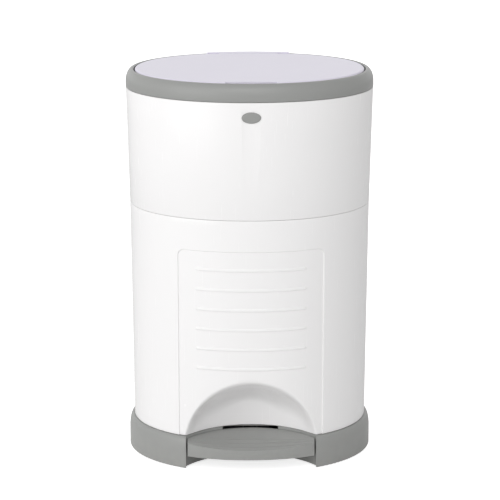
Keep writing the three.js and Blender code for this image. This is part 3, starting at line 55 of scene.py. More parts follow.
# Shapes are worked out in millimetres and put into metres when a piece is complete
MM = 0.001

# Oval plan law of every shell
DEPTH_DROP = 33.6
DROP_REACH = 120.0
OVAL_POWER = 2.08

# Body
BODY_FOOT = 173.2
SEAM = 176.0
BODY_TOP = 179.8
DECK = 47.6
SEAM_HEIGHT = 376.2
RING_HEIGHT = 545.9
SHELL_WALL = 3.0
SEAT_GAP = 0.3
RUN_GAP = 0.5
SHELL_TOP = SEAM_HEIGHT - SEAT_GAP
CATCH_HEIGHT = 214.0
STRIKE_LENGTH = 28
BOSS = 5.5
BOSS_TOP = DECK + 24

# Base and foot space
PLINTH = 180.7
PLINTH_FOOT = 1.5
PLINTH_WALL_HEIGHT = 27.6
PLINTH_TOP = 174.4
BITE_RADIUS = 115.0
BITE_Y = -184.0
BITE_HALF = 95.0
BASE_INSIDE = 46
PAD_BOSS = 11
CHEEK = 9
PAD_PLACES = ((-138, -58), (-96, 92), (138, -58), (96, 92))
SLOT_HALF = 41.0
SLOT_LOW = 27.0

# Pedal
PIVOT = (-50.0, 30.0)
TREAD_HALF = 92.4
TREAD_RADIUS = 113.0
TREAD_RIM = 179.5
TREAD_FRONT_TOP = 34.5
TREAD_SIDE_TOP = 39.2
TREAD_REAR_TOP = 44.0
TREAD_FRONT_LOW = 19.7
TREAD_REAR_LOW = 26.5
GRIP_RISE = 0.8

# Arch over the foot
ARCH_HALF = 95.6
ARCH_CENTRE = 24.0
ARCH_RISE = 110.0
ARCH_SLOPE = 0.5

# Door and its ribbed panel
DOOR_BOTTOM = 48.4
FRONT_REACH = 147.0
PANEL_HALF = 105.0
PANEL_TOP = 330.5
PANEL_CORNER = 10.0
PANEL_BLEND = 1.1
RIB_HALF = 79.5
RIB_LOW = 155.2
RIB_PITCH = 29.5
RIB_COUNT = 6
RIB_ROUND = 2.4
RIB_EDGE = 2.7
RIB_BLEND = 1.8
EDGE_RIB = (49.0, 363.0)
SIDE_STEPS = 22
SPLIT_Y = 26.0
SPLIT_GAP = 0.8
DOOR_PIN_X = -171.5
KNUCKLE = 3.5
KNUCKLE_LENGTH = 14.0
HINGE_HEIGHTS = (104.0, 322.0)
HINGE_RELIEF = 4.4

# Top ring and lid
RING = 180.0
RIDGE_HEIGHT = 571.2
RING_ROUND = 9.5
RING_SHOULDER = 17.4
RING_WALL = 3.0
RING_INNER = 168.5
LEDGE_HEIGHT = 562.0
MOUTH = 140.0
MOUTH_Y = -9.5
COVER_FRONT = 121.3
COVER_LOW = 563.3
COVER_HALF = 63.0
TAB_X = 44.5
TAB_WIDTH = 16.0
LID = 166.5
LID_EDGE = 570.7
LID_TOP = 572.1
LID_REAR = 119.5
LID_PIN = (124.5, 567.5)
LID_BARREL = 3.2
NOTCH_HALF = 36.0
NOTCH_DEPTH = 7.0
TOP_PIN = (143.0, 540.0)
TOP_KNUCKLE = 3.4
TOP_KNUCKLE_HALF = 26.0
HINGE_NOTCH = ((-39.5, 39.5), (71.5, 190), (531, 600))
EAR_FOOT = 523
EAR_WIDTH = 12

# Throat, trap doors and push rod
THROAT = 66.025
THROAT_Y = -16.0
THROAT_LOW = 466.8
FLAP_PIN_X = 72.525
FLAP_PIN_Z = 464.6
FLAP_EYE = 2.8
ROD_Y = 108.9
ROD_HOLE = 4.6
ROD_SLOT = ((-8, 8), (102.3, 115))
FOLD = 0.9

# Release button
BUTTON_HEIGHT = 524.4
BUTTON_HALF_WIDTH = 13.35
BUTTON_HALF_HEIGHT = 7.75
STEM_END = -137.9

# Camera, and the place and width of each lamp in metres
SENSOR = 36.0
CAMERA_SHIFT = 0.0009
KEY_LAMP = ((-2.4, -2.6, 1.2), 2.8)
FRONT_LAMP = ((0.0, -3.4, 2.6), 2.2)
LIT_POINT = (0, 0, 0.3)

# Floor, and the oval under the bin that the camera doesn't see as white
FLOOR_WIDTH = 30
FLOOR_GLOW = 0.75
UNDER_SCALE = (5.9, 9.5, 0)
UNDER_PLACE = (0, -0.33, 0)

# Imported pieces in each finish: those that aren't named here are steel
NODES_IN = {
    "inner": ("cassette_shelf", "refill_cassette", "rod_guide", "rod_cover", "button_guide", "latch_arm",
              "lid_liner", "lid_lever", "door_catch", "flap_left", "flap_right"),
    "white": ("lower_rear_shell", "upper_shell", "throat_funnel", "front_door"),
    "lid": ("lid_panel",),
    "grey": ("base_plinth", "top_ring", "pedal_tread", "release_button", "cutter_housing"),
    "dark_rubber": ("foot_pad_1", "foot_pad_2", "foot_pad_3", "foot_pad_4"),
    "pale_rubber": ("throat_seal", "lid_seal"),
    "film": ("film_pack",),
}


def linear(code):
    """Linear colour of a hex code."""
    parts = [int(code[i:i + 2], 16) / 255 for i in (0, 2, 4)]
    return tuple(c / 12.92 if c <= 0.04045 else ((c + 0.055) / 1.055) ** 2.4 for c in parts)


def number(name, description, default, **limits):
    return FloatProperty(name=name, description=description, default=default, **limits)


def tint(name, description, code):
    return FloatVectorProperty(name=name, description=description, subtype="COLOR", default=linear(code),
                               min=0.0, max=1.0)


class BinSizes(bpy.types.PropertyGroup):
    """Sizes of the detail that the pieces carry."""

    shell_sides: IntProperty(name="Shell sides", description="Sides of each oval shell", default=160, min=48)
    edge_round: number("Edge rounding", "Rounding along the shells' edges", 0.0006, min=0.0, unit="LENGTH")
    arch_fillet: number("Arch rim", "How far each way the foot space's rim is blended", 0.004, min=0.001,
                        unit="LENGTH")
    arch_hollow: number("Arch hollow", "Blend between the arch's ceiling and its back", 0.03, min=0.001,
                        unit="LENGTH")
    panel_depth: number("Panel depth", "Depth of the door's sunk panel", 0.0016, min=0.0, unit="LENGTH")
    rib_rise: number("Rib height", "Height of the ribs above the panel", 0.0013, min=0.0, unit="LENGTH")
    film_pleats: IntProperty(name="Film pleats", description="Pleats in the packed film", default=30, min=4)


class BinColours(bpy.types.PropertyGroup):
    """Colours of the mouldings, rubber and metal."""

    white: tint("Body white", "Gloss white of the shells", "f1f0f0")
    inner: tint("Inner white", "Satin white of the inner mouldings", "e6e6e4")
    # Painted reflection and painted shade: the lid is the body's white, tinted lavender for a reflected
    # lavender surround and toned a little darker for less light on its top.
    lid: tint("Lid", "Cool white of the lid", "e7e3f1")
    grey: tint("Grey trim", "Satin grey of the ring, base, pedal and button", "949593")
    dark_rubber: tint("Dark rubber", "Foot pads", "3a3c3d")
    pale_rubber: tint("Pale rubber", "Seals", "b9bcbc")
    steel: tint("Steel", "Pins, rod, springs and screws", "b4b7ba")
    film: tint("Film", "Packed liner film", "cfdde6")


class BinStage(bpy.types.PropertyGroup):
    """Camera and lamps."""

    lens: number("Lens", "Focal length of the camera", 149.88, unit="CAMERA")
    camera_back: number("Camera distance", "How far in front of the bin the camera is", 2.992, unit="LENGTH")
    camera_height: number("Camera height", "Height of the camera above the floor", 1.0745, unit="LENGTH")
    camera_tilt: number("Camera tilt", "Angle of the camera from straight down", math.radians(75.438),
                        unit="ROTATION")
    camera_turn: number("Camera turn", "How far the camera goes round to the left", math.radians(1.0),
                        unit="ROTATION")
    key_power: number("Key lamp", "Power of the large lamp at the front left", 29.6, unit="POWER")
    front_power: number("Front lamp", "Power of the lamp over the camera", 25.7, unit="POWER")
    ambient: number("Ambient light", "Strength of the light from all round", 0.943, min=0.0)
    side_drop: number("Side drop", "How far that light falls to the right", 0.286, min=0.0, max=1.0)
    top_drop: number("Top drop", "How far that light falls overhead", 0.471, min=0.0, max=1.0)


# Steps of modelling

def unselect():
    """Leaves edit mode and deselects all."""
    if bpy.context.object and bpy.context.object.mode != "OBJECT":
        bpy.ops.object.mode_set(mode="OBJECT")
    bpy.ops.object.select_all(action="DESELECT")


def only(obj):
    """Selects one object and makes it the active one."""
    unselect()
    obj.select_set(True)
    bpy.context.view_layer.objects.active = obj


def edited(obj, step, test=lambda v: True, **values):
    """Runs one step of mesh editing on the vertices that pass a test."""
    only(obj)
    mesh = obj.data
    for part in (mesh.vertices, mesh.edges, mesh.polygons):
        part.foreach_set("select", [False] * len(part))
    for v in mesh.vertices:
        v.select = test(v)
    bpy.ops.object.mode_set(mode="EDIT")
    bpy.ops.mesh.select_mode(type="VERT")
    step(**values)
    bpy.ops.object.mode_set(mode="OBJECT")
    return obj


def face_out(obj):
    """Turns all the faces outwards."""
    return edited(obj, bpy.ops.mesh.normals_make_consistent, inside=False)


def settled():
    """The active object, with its place put into its mesh."""
    bpy.ops.object.transform_apply(location=True, rotation=True, scale=True)
    return bpy.context.object


def block(x, y, z):
    """Box between two values on each axis."""
    unselect()
    spans = [sorted(span) for span in (x, y, z)]
    bpy.ops.mesh.primitive_cube_add(
        size=1,
        location=[(low + high) / 2 for low, high in spans],
        scale=[high - low for low, high in spans],
    )
    return settled()


def bar(radius, start, end, sides=48):
    """Round bar between two points."""
    unselect()
    a, b = Vector(start), Vector(end)
    turn = Vector((0, 0, 1)).rotation_difference(b - a).to_euler()
    bpy.ops.mesh.primitive_cylinder_add(vertices=sides, radius=radius, depth=(b - a).length,
                                        location=(a + b) / 2, rotation=turn)
    return settled()


def axle(radius, x, y, z):
    """Round bar from side to side, between two values of x."""
    return bar(radius, (x[0], y, z), (x[1], y, z))


def upright(radius, place, low, high, sides=48):
    """Round bar between two heights."""
    return bar(radius, (*place, low), (*place, high), sides)


def prism(outline, push):
    """Flat outline of points, pushed out by a vector."""
    unselect()
    bpy.ops.mesh.primitive_circle_add(vertices=len(outline), radius=1, fill_type="NGON")
    obj = bpy.context.object
    for v, point in zip(obj.data.vertices, outline):
        v.co = point
    bpy.ops.object.mode_set(mode="EDIT")
    bpy.ops.mesh.select_all(action="SELECT")
    bpy.ops.mesh.extrude_region_move(TRANSFORM_OT_translate={"value": push})
    return face_out(obj)


def formed(columns, rows, place):
    """Grid of points set by place(u, v), each from 0 to 1."""
    unselect()
    bpy.ops.mesh.primitive_grid_add(x_subdivisions=columns, y_subdivisions=rows, size=2)
    obj = bpy.context.object
    for v in obj.data.vertices:
        v.co = place((v.co.x + 1) / 2, (v.co.y + 1) / 2)
    return obj


def merge_doubles(obj, reach=0.001, outward=True):
    edited(obj, bpy.ops.mesh.remove_doubles, threshold=reach)
    return face_out(obj) if outward else obj


def modified(obj, kind, **values):
    """Puts a modifier into a mesh."""
    only(obj)
    bpy.ops.object.modifier_add(type=kind)
    step = obj.modifiers[-1]
    for key, value in values.items():
        setattr(step, key, value)
    bpy.ops.object.modifier_apply(modifier=step.name)
    return obj


def boolean(obj, other, way="UNION"):
    """Joins or cuts two solids and removes the second."""
    modified(obj, "BOOLEAN", operation=way, solver="EXACT", object=other)
    bpy.data.objects.remove(other)
    return obj


def carve(obj, *cutters):
    for cutter in cutters:
        boolean(obj, cutter, "DIFFERENCE")
    return obj


def common(obj, other):
    return boolean(obj, other, "INTERSECT")


def weld(obj, *others):
    """Puts several closed shells into one object."""
    only(obj)
    for other in others:
        other.select_set(True)
    bpy.ops.object.join()
    return obj


def soften(obj, width=None, angle=38, segments=2):
    """Rounds the sharp edges."""
    return modified(obj, "BEVEL", width=width or bpy.context.scene.bin_sizes.edge_round / MM,
                    segments=segments, limit_method="ANGLE", angle_limit=math.radians(angle))


def slice_off(obj, point, normal):
    """Cuts away what lies on the side that the normal points to."""
    return edited(obj, bpy.ops.mesh.bisect, plane_co=point, plane_no=normal, use_fill=True, clear_outer=True)


def finish_on(obj, slot):
    """Gives an object the finish of a material slot."""
    obj.data.materials.clear()
    obj.data.materials.append(bpy.data.materials[slot + "_finish"])


def complete(obj, name, body, slot, smooth=40):
    """Names a piece, shades it, puts it in metres and hangs it on its body."""
    only(obj)
    obj.name = obj.data.name = name
    bpy.ops.object.shade_smooth_by_angle(angle=math.radians(smooth))
    obj.data.transform(Matrix.Scale(MM, 4))
    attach(obj, body)
    finish_on(obj, slot)


def slot_of(node):
    """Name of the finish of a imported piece."""
    return next((slot for slot, nodes in NODES_IN.items() if node in nodes), "steel")


def stand_in(obj, node, name, smooth=40):
    """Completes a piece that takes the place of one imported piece, in its finish and on its body."""
    bodies = frame["record"]["behaviour"]["bodies"]
    body = next(name for name, nodes in bodies.items() if node in nodes)
    complete(obj, name, body, slot_of(node), smooth)
    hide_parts(node)


def refined(node):
    """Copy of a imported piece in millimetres, with its doubled points merged."""
    unselect()
    obj = bpy.data.objects.new(node + "_copy", frame["nodes"][node].data.copy())
    bpy.context.collection.objects.link(obj)
    obj.data.transform(Matrix.Scale(1 / MM, 4))
    only(obj)
    if obj.data.has_custom_normals:
        bpy.ops.mesh.customdata_custom_splitnormals_clear()
    return merge_doubles(obj, 0.002)


# Oval shells

def half_depth(half_width):
    return half_width - DEPTH_DROP * min(1, half_width / DROP_REACH)


def oval_point(half_width, angle, height):
    along, across = math.cos(angle), math.sin(angle)
    return Vector((
        half_width * math.copysign(abs(along) ** (2 / OVAL_POWER), along),
        half_depth(half_width) * math.copysign(abs(across) ** (2 / OVAL_POWER), across),
        height,
    ))


def face_depth(half_width, x):
    return half_depth(half_width) * max(0, 1 - abs(x / half_width) ** OVAL_POWER) ** (1 / OVAL_POWER)


def face_width(half_width, y):
    return half_width * max(0, 1 - abs(y / half_depth(half_width)) ** OVAL_POWER) ** (1 / OVAL_POWER)


def body_half_width(height):
    if height < SEAM_HEIGHT:
        return BODY_FOOT + (height - DECK) / (SEAM_HEIGHT - DECK) * (SEAM - BODY_FOOT)
    return SEAM + (height - SEAM_HEIGHT) / (RING_HEIGHT - SEAM_HEIGHT) * (BODY_TOP - SEAM)


def swept(obj, sides, moves, ends):
    """Draws a ring through (shift, scale, centre) moves: its ends are looped, capped or merged to points."""
    bpy.ops.object.mode_set(mode="EDIT")
    bpy.ops.mesh.select_all(action="SELECT")
    for shift, scale, centre in moves:
        bpy.ops.mesh.extrude_region_move(TRANSFORM_OT_translate={"value": shift})
        bpy.ops.transform.resize(value=scale, center_override=centre)
    bpy.ops.object.mode_set(mode="OBJECT")
    last = len(obj.data.vertices) - sides
    if ends == "loop":
        edited(obj, bpy.ops.mesh.bridge_edge_loops, lambda v: v.index < sides or v.index >= last)
    else:
        for test in (lambda v: v.index >= last, lambda v: v.index < sides):
            if ends == "caps":
                edited(obj, bpy.ops.mesh.edge_face_add, test)
            else:
                edited(obj, bpy.ops.mesh.merge, test, type="CENTER")
    return face_out(obj)


def oval_loft(section, ends="loop"):
    """Oval shell through (half width, height) or (half width, height, shift back) steps."""
    sides = bpy.context.scene.bin_sizes.shell_sides
    steps = [(*step, 0.0)[:3] for step in section]
    unselect()
    bpy.ops.mesh.primitive_circle_add(vertices=sides, radius=1, fill_type="NOTHING")
    obj = bpy.context.object
    wide, low, back = steps[0]
    for v in obj.data.vertices:
        v.co = oval_point(wide, math.atan2(v.co.y, v.co.x), low) + Vector((0, back, 0))
    moves = []
    for (was, low, before), (now, high, after) in zip(steps, steps[1:]):
        scale = (now / was, half_depth(now) / half_depth(was), 1)
        moves.append(((0, after - before, high - low), scale, (0, after, high)))
    return swept(obj, sides, moves, ends)


def lathe(section, centre=(0, 0), sides=72, ends="loop"):
    """Round shell through (radius, height) steps about an upright axis."""
    unselect()
    radius, height = section[0]
    bpy.ops.mesh.primitive_circle_add(vertices=sides, radius=radius, fill_type="NOTHING",
                                      location=(*centre, height))
    moves = [((0, 0, high - low), (now / was, now / was, 1), (*centre, high))
             for (was, low), (now, high) in zip(section, section[1:])]
    return swept(settled(), sides, moves, ends)


def arc(centre, radius, start, end, steps):
    """Points of an arc in the section plane, with its angles in degrees."""
    points = []
    for i in range(steps + 1):
        angle = math.radians(start + (end - start) * i / steps)
        points.append((centre[0] + radius * math.cos(angle), centre[1] + radius * math.sin(angle)))
    return points


def bite_cutter(grow):
    """Foot space in plan, a circle's back with straight sides, through the whole base."""
    half, radius, front = BITE_HALF + grow, BITE_RADIUS + grow, -BODY_TOP - 20
    start = math.degrees(math.acos(half / radius))
    outline = [(-half, front), (half, front), *arc((0, BITE_Y), radius, start, 180 - start, 72)]
    return prism([(x, y, -30) for x, y in outline], (0, 0, 110))


def round_point(radius, angle, height):
    """Point on a circle round the throat's axis."""
    return Vector((radius * math.cos(angle), THROAT_Y + radius * math.sin(angle), height))


def smooth_step(value):
    t = min(1.0, max(0.0, value))
    return t * t * (3 - 2 * t)


def blend_max(a, b, reach):
    overlap = max(reach - abs(a - b), 0) / reach
    return max(a, b) + overlap * overlap * reach / 4


def blend_min(a, b, reach):
    return -blend_max(-a, -b, reach)


# Effects that the finishes share

def feed(tree, socket, value):
    """Links a socket to another one, or sets it to a number or a colour."""
    if isinstance(value, bpy.types.NodeSocket):
        tree.links.new(value, socket)
    else:
        socket.default_value = value


def fill(tree, node, values):
    """Feeds several of a node's inputs by name."""
    for name, value in values.items():
        feed(tree, node.inputs[name], value)


def output(tree, kind, name):
    """Output of a new node that needs no input."""
    return tree.nodes.new("ShaderNode" + kind).outputs[name]


def new_group(name, result, **inputs):
    """Node group fed by a vector and by its own numbers and colours: the group, its inputs and its result."""
    group = bpy.data.node_groups.new(name, "ShaderNodeTree")
    group.interface.new_socket(name="Vector", in_out="INPUT", socket_type="NodeSocketVector")
    for key, value in inputs.items():
        kind = "NodeSocketColor" if isinstance(value, tuple) else "NodeSocketFloat"
        socket = group.interface.new_socket(name=key.capitalize(), in_out="INPUT", socket_type=kind)
        socket.default_value = value
    kind = "NodeSocketColor" if result == "Colour" else "NodeSocketFloat"
    group.interface.new_socket(name=result, in_out="OUTPUT", socket_type=kind)
    return group, group.nodes.new("NodeGroupInput").outputs, group.nodes.new("NodeGroupOutput").inputs[0]


def maths(tree, way, *values, clamp=False):
    """Math node fed by sockets or numbers."""
    node = tree.nodes.new("ShaderNodeMath")
    node.operation, node.use_clamp = way, clamp
    for socket, value in zip(node.inputs, values):
        feed(tree, socket, value)
    return node.outputs[0]


def noise(tree, vector, scale, detail=2.0, distortion=0.0):
    node = tree.nodes.new("ShaderNodeTexNoise")
    fill(tree, node, {"Vector": vector, "Scale": scale, "Detail": detail, "Distortion": distortion})
    return node.outputs["Fac"]


def stretched(tree, vector, scale, place=(0, 0, 0)):
    node = tree.nodes.new("ShaderNodeMapping")
    fill(tree, node, {"Vector": vector, "Scale": scale, "Location": place})
    return node.outputs["Vector"]


def build_grain():
    """Fine moulded grain over a slow waviness, as a height."""
    group, given, result = new_group("moulded_grain", "Height", scale=1200.0, grain=0.5, waviness=0.5)
    fine = noise(group, given["Vector"], given["Scale"], 3.0)
    slow = noise(group, given["Vector"], 9.0, 1.0)
    height = maths(group, "MULTIPLY", fine, given["Grain"])
    feed(group, result, maths(group, "MULTIPLY_ADD", slow, given["Waviness"], height))


def build_drift():
    """Slow change of tone across a moulding."""
    group, given, result = new_group("tone_drift", "Colour", colour=(1, 1, 1, 1), scale=6.0, amount=0.03)
    centred = maths(group, "SUBTRACT", noise(group, given["Vector"], given["Scale"]), 0.5)
    scaled = group.nodes.new("ShaderNodeVectorMath")
    scaled.operation = "SCALE"
    feed(group, scaled.inputs[0], given["Colour"])
    feed(group, scaled.inputs["Scale"], maths(group, "MULTIPLY_ADD", centred, given["Amount"], 1.0))
    feed(group, result, scaled.outputs[0])


def build_handling():
    """Faint smears and hairline scratches, as a roughness."""
    group, given, result = new_group("handling_marks", "Roughness", roughness=0.3, smears=0.06,
                                     scratches=0.05)
    smear = maths(group, "SUBTRACT", noise(group, given["Vector"], 14.0, 4.0, 1.2), 0.5)
    rough = maths(group, "MULTIPLY_ADD", smear, given["Smears"], given["Roughness"])
    hair = noise(group, stretched(group, given["Vector"], (900.0, 900.0, 14.0)), 1.0)
    line = maths(group, "MULTIPLY", maths(group, "SUBTRACT", hair, 0.66, clamp=True), 6.0, clamp=True)
    feed(group, result, maths(group, "MULTIPLY_ADD", line, given["Scratches"], rough, clamp=True))


def build_dust():
    """Dust that settles on the lowest part of the bin."""
    group, given, result = new_group("floor_dust", "Colour", colour=(1, 1, 1, 1), dust=(0.6, 0.58, 0.55, 1),
                                     reach=0.05, amount=0.2)
    split = group.nodes.new("ShaderNodeSeparateXYZ")
    feed(group, split.inputs[0], given["Vector"])
    low = maths(group, "DIVIDE", split.outputs["Z"], given["Reach"])
    low = maths(group, "SUBTRACT", 1.0, low, clamp=True)
    patch = noise(group, given["Vector"], 55.0, 5.0, 0.6)
    mask = maths(group, "MULTIPLY", maths(group, "MULTIPLY", low, patch), given["Amount"], clamp=True)
    mix = group.nodes.new("ShaderNodeMix")
    mix.data_type = "RGBA"
    fill(group, mix, {"Factor": mask, "A": given["Colour"], "B": given["Dust"]})
    feed(group, result, mix.outputs["Result"])


def place_group(tree, name, vector, **values):
    """Places a shared effect, with its own values or links."""
    node = tree.nodes.new("ShaderNodeGroup")
    node.node_tree = bpy.data.node_groups[name]
    fill(tree, node, {"Vector": vector} | {key.capitalize(): value for key, value in values.items()})
    return node.outputs[0]


def new_finish(name, colour, drift, drift_scale):
    """Finish whose tone drifts: its tree, shader, Object coordinates and tint."""
    made = bpy.data.materials.new(name + "_finish")
    made.use_nodes = True
    tree = made.node_tree
    vector = output(tree, "TexCoord", "Object")
    tint = place_group(tree, "tone_drift", vector, colour=(*colour, 1), scale=drift_scale, amount=drift)
    return tree, tree.nodes["Principled BSDF"], vector, tint


def clothe(tree, shader, tint, rough, height, depth):
    """Feeds a shader its colour and roughness, and a height of a given depth as bump."""
    bump = tree.nodes.new("ShaderNodeBump")
    fill(tree, bump, {"Strength": 1.0, "Distance": depth, "Height": height})
    fill(tree, shader, {"Base Color": tint, "Roughness": rough, "Normal": bump.outputs["Normal"]})


def moulded(name, colour, rough, grain, waviness, smears, scratches, drift, dust,
            scale=1200.0, drift_scale=6.0, depth=0.0001):
    """Moulded plastic or rubber: grain, tone, handling marks and dust near the floor."""
    tree, shader, vector, tint = new_finish(name, colour, drift, drift_scale)
    tint = place_group(tree, "floor_dust", vector, colour=tint, amount=dust)
    worn = place_group(tree, "handling_marks", vector, roughness=rough, smears=smears, scratches=scratches)
    height = place_group(tree, "moulded_grain", vector, scale=scale, grain=grain, waviness=waviness)
    clothe(tree, shader, tint, worn, height, depth)


def lined(name, colour, drift, drift_scale, stretch, detail, distortion, rough_range, depth):
    """Steel or film with fine lines that change its gloss."""
    tree, shader, vector, tint = new_finish(name, colour, drift, drift_scale)
    lines = noise(tree, stretched(tree, vector, stretch), 1.0, detail, distortion)
    clothe(tree, shader, tint, maths(tree, "MULTIPLY_ADD", lines, rough_range, 0.2), lines, depth)
    return shader


# Operators

class NB_OT_stage(bpy.types.Operator):
    """Lays the floor and sets the camera, lamps and world"""

    bl_idname = "nappy_bin.stage"
    bl_label = "Stage"

    def execute(self, context):
        stage = context.scene.bin_stage
        self.camera(context, stage)
        self.floor()
        self.world(context, stage)
        self.lamp("key_lamp", *KEY_LAMP, stage.key_power)
        self.lamp("front_lamp", *FRONT_LAMP, stage.front_power)
        context.scene.view_settings.view_transform = "Standard"
        return {"FINISHED"}

    @staticmethod
    def camera(context, stage):
        unselect()
        turn, back = stage.camera_turn, stage.camera_back
        place = (-back * math.sin(turn), -back * math.cos(turn), stage.camera_height)
        bpy.ops.object.camera_add(location=place, rotation=(stage.camera_tilt, 0, -turn))
        camera = bpy.context.object
        camera.name = "photo_camera"
        camera.data.lens, camera.data.sensor_width, camera.data.shift_x = stage.lens, SENSOR, CAMERA_SHIFT
        context.scene.camera = camera

    @staticmethod
    def lamp(name, place, size, power):
        unselect()
        turn = (Vector(LIT_POINT) - Vector(place)).to_track_quat("-Z", "Y").to_euler()
        bpy.ops.object.light_add(type="AREA", location=place, rotation=turn)
        lamp = bpy.context.object
        lamp.name = name
        lamp.data.size, lamp.data.energy = size, power

    @staticmethod
    def floor():
        """Pale floor that looks white to the camera, except under the bin, where it stays dark."""
        unselect()
        bpy.ops.mesh.primitive_plane_add(size=FLOOR_WIDTH, location=(0, 0, 0))
        floor = bpy.context.object
        floor.name = "floor"
        made = bpy.data.materials.new("pale_floor")
        made.use_nodes = True
        tree = made.node_tree
        shader = tree.nodes["Principled BSDF"]
        reach = tree.nodes.new("ShaderNodeVectorMath")
        reach.operation = "LENGTH"
        coords = output(tree, "TexCoord", "Object")
        feed(tree, reach.inputs[0], stretched(tree, coords, UNDER_SCALE, UNDER_PLACE))
        outside = maths(tree, "SUBTRACT", reach.outputs["Value"], 0.9)
        clear = maths(tree, "MULTIPLY", outside, 10.0, clamp=True)
        seen = maths(tree, "MULTIPLY", output(tree, "LightPath", "Is Camera Ray"), clear)
        fill(tree, shader, {"Base Color": (0.86, 0.86, 0.86, 1), "Roughness": 0.7,
                            "Emission Color": (1, 1, 1, 1),
                            "Emission Strength": maths(tree, "MULTIPLY", seen, FLOOR_GLOW)})
        floor.data.materials.append(made)

    @staticmethod
    def world(context, stage):
        """Soft light from all round that falls to the right and overhead, white to the camera."""
        world = context.scene.world or bpy.data.worlds.new("studio")
        context.scene.world = world
        world.use_nodes = True
        tree = world.node_tree
        way = tree.nodes.new("ShaderNodeSeparateXYZ")
        feed(tree, way.inputs[0], output(tree, "TexCoord", "Generated"))
        fall = maths(tree, "MULTIPLY_ADD", way.outputs["X"], -stage.side_drop, 1.0)
        overhead = maths(tree, "MAXIMUM", way.outputs["Z"], 0.0)
        fall = maths(tree, "MULTIPLY_ADD", overhead, -stage.top_drop, fall)
        rays = tree.nodes.new("ShaderNodeLightPath").outputs
        seen = maths(tree, "MAXIMUM", rays["Is Camera Ray"], rays["Is Glossy Ray"])
        seen = maths(tree, "MAXIMUM", seen, rays["Is Transmission Ray"])
        strength = maths(tree, "MAXIMUM", maths(tree, "MULTIPLY", fall, stage.ambient), seen)
        fill(tree, tree.nodes["Background"], {"Color": (1, 1, 1, 1), "Strength": strength})


class NB_OT_finishes(bpy.types.Operator):
    """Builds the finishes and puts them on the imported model's own pieces"""

    bl_idname = "nappy_bin.finishes"
    bl_label = "Finishes"

    def execute(self, context):
        tints = context.scene.bin_colours
        for build in (build_grain, build_drift, build_handling, build_dust):
            build()
        # Roughness, grain, waviness, smears, scratches, drift, dust, and then any scales and depth of its own
        looks = {
            "white": (0.26, 0.10, 0.8, 0.06, 0.05, 0.02, 0.10),
            "inner": (0.42, 0.35, 0.5, 0.08, 0.04, 0.03, 0.05),
            "lid": (0.30, 0.12, 0.7, 0.08, 0.06, 0.02, 0.0),
            "grey": (0.34, 0.55, 0.5, 0.10, 0.08, 0.04, 0.22, 1500.0),
            "dark_rubber": (0.75, 1.0, 0.0, 0.2, 0.0, 0.14, 0.25, 2200.0, 60.0, 0.00012),
            "pale_rubber": (0.75, 1.0, 0.0, 0.2, 0.0, 0.14, 0.25, 2200.0, 60.0, 0.00012),
        }
        for slot, values in looks.items():
            moulded(slot, getattr(tints, slot), *values)
        steel = lined("steel", tints.steel, 0.12, 40.0, (2400.0, 2400.0, 60.0), 3.0, 0.0, 0.22, 0.00002)
        steel.inputs["Metallic"].default_value = 1.0
        film = lined("film", tints.film, 0.2, 90.0, (140.0, 140.0, 900.0), 5.0, 0.8, 0.3, 0.0004)
        film.inputs["Sheen Weight"].default_value = 0.15
        for name, node in frame["nodes"].items():
            finish_on(node, slot_of(name))
        return {"FINISHED"}


class NB_OT_upper_shell(bpy.types.Operator):
    """Upper shell with the button's hole and the notch for the top's hinge"""

    bl_idname = "nappy_bin.upper_shell"
    bl_label = "Upper shell"

    def execute(self, context):
        low, high = SEAM_HEIGHT + SEAT_GAP, RING_HEIGHT - SEAT_GAP
        wide, top = body_half_width(low), body_half_width(high)
        shell = oval_loft([(wide, low), (top, high), (top - SHELL_WALL, high), (wide - SHELL_WALL, low)])
        hole = bar(1, (0, -200, BUTTON_HEIGHT), (0, 0, BUTTON_HEIGHT), 96)
        wide_hole, high_hole = BUTTON_HALF_WIDTH + SEAT_GAP, BUTTON_HALF_HEIGHT + SEAT_GAP
        for v in hole.data.vertices:
            v.co = (v.co.x * wide_hole, v.co.y, BUTTON_HEIGHT + (v.co.z - BUTTON_HEIGHT) * high_hole)
        carve(shell, hole, block(*HINGE_NOTCH))
        soften(shell)
        y, z = TOP_PIN
        for side in (-1, 1):
            near = TOP_KNUCKLE_HALF + RUN_GAP
            x = (side * near, side * (near + EAR_WIDTH))
            ear = block(x, (y - TOP_KNUCKLE, y + TOP_KNUCKLE), (EAR_FOOT, z))
            weld(shell, soften(boolean(ear, axle(TOP_KNUCKLE, x, y, z)), 0.3))
        stand_in(shell, "upper_shell", "upper_shell_moulding")
        return {"FINISHED"}


def spaced(*runs):
    """Numbers in runs of (first, step, count)."""
    return [first + i * step for first, step, count in runs for i in range(count)]


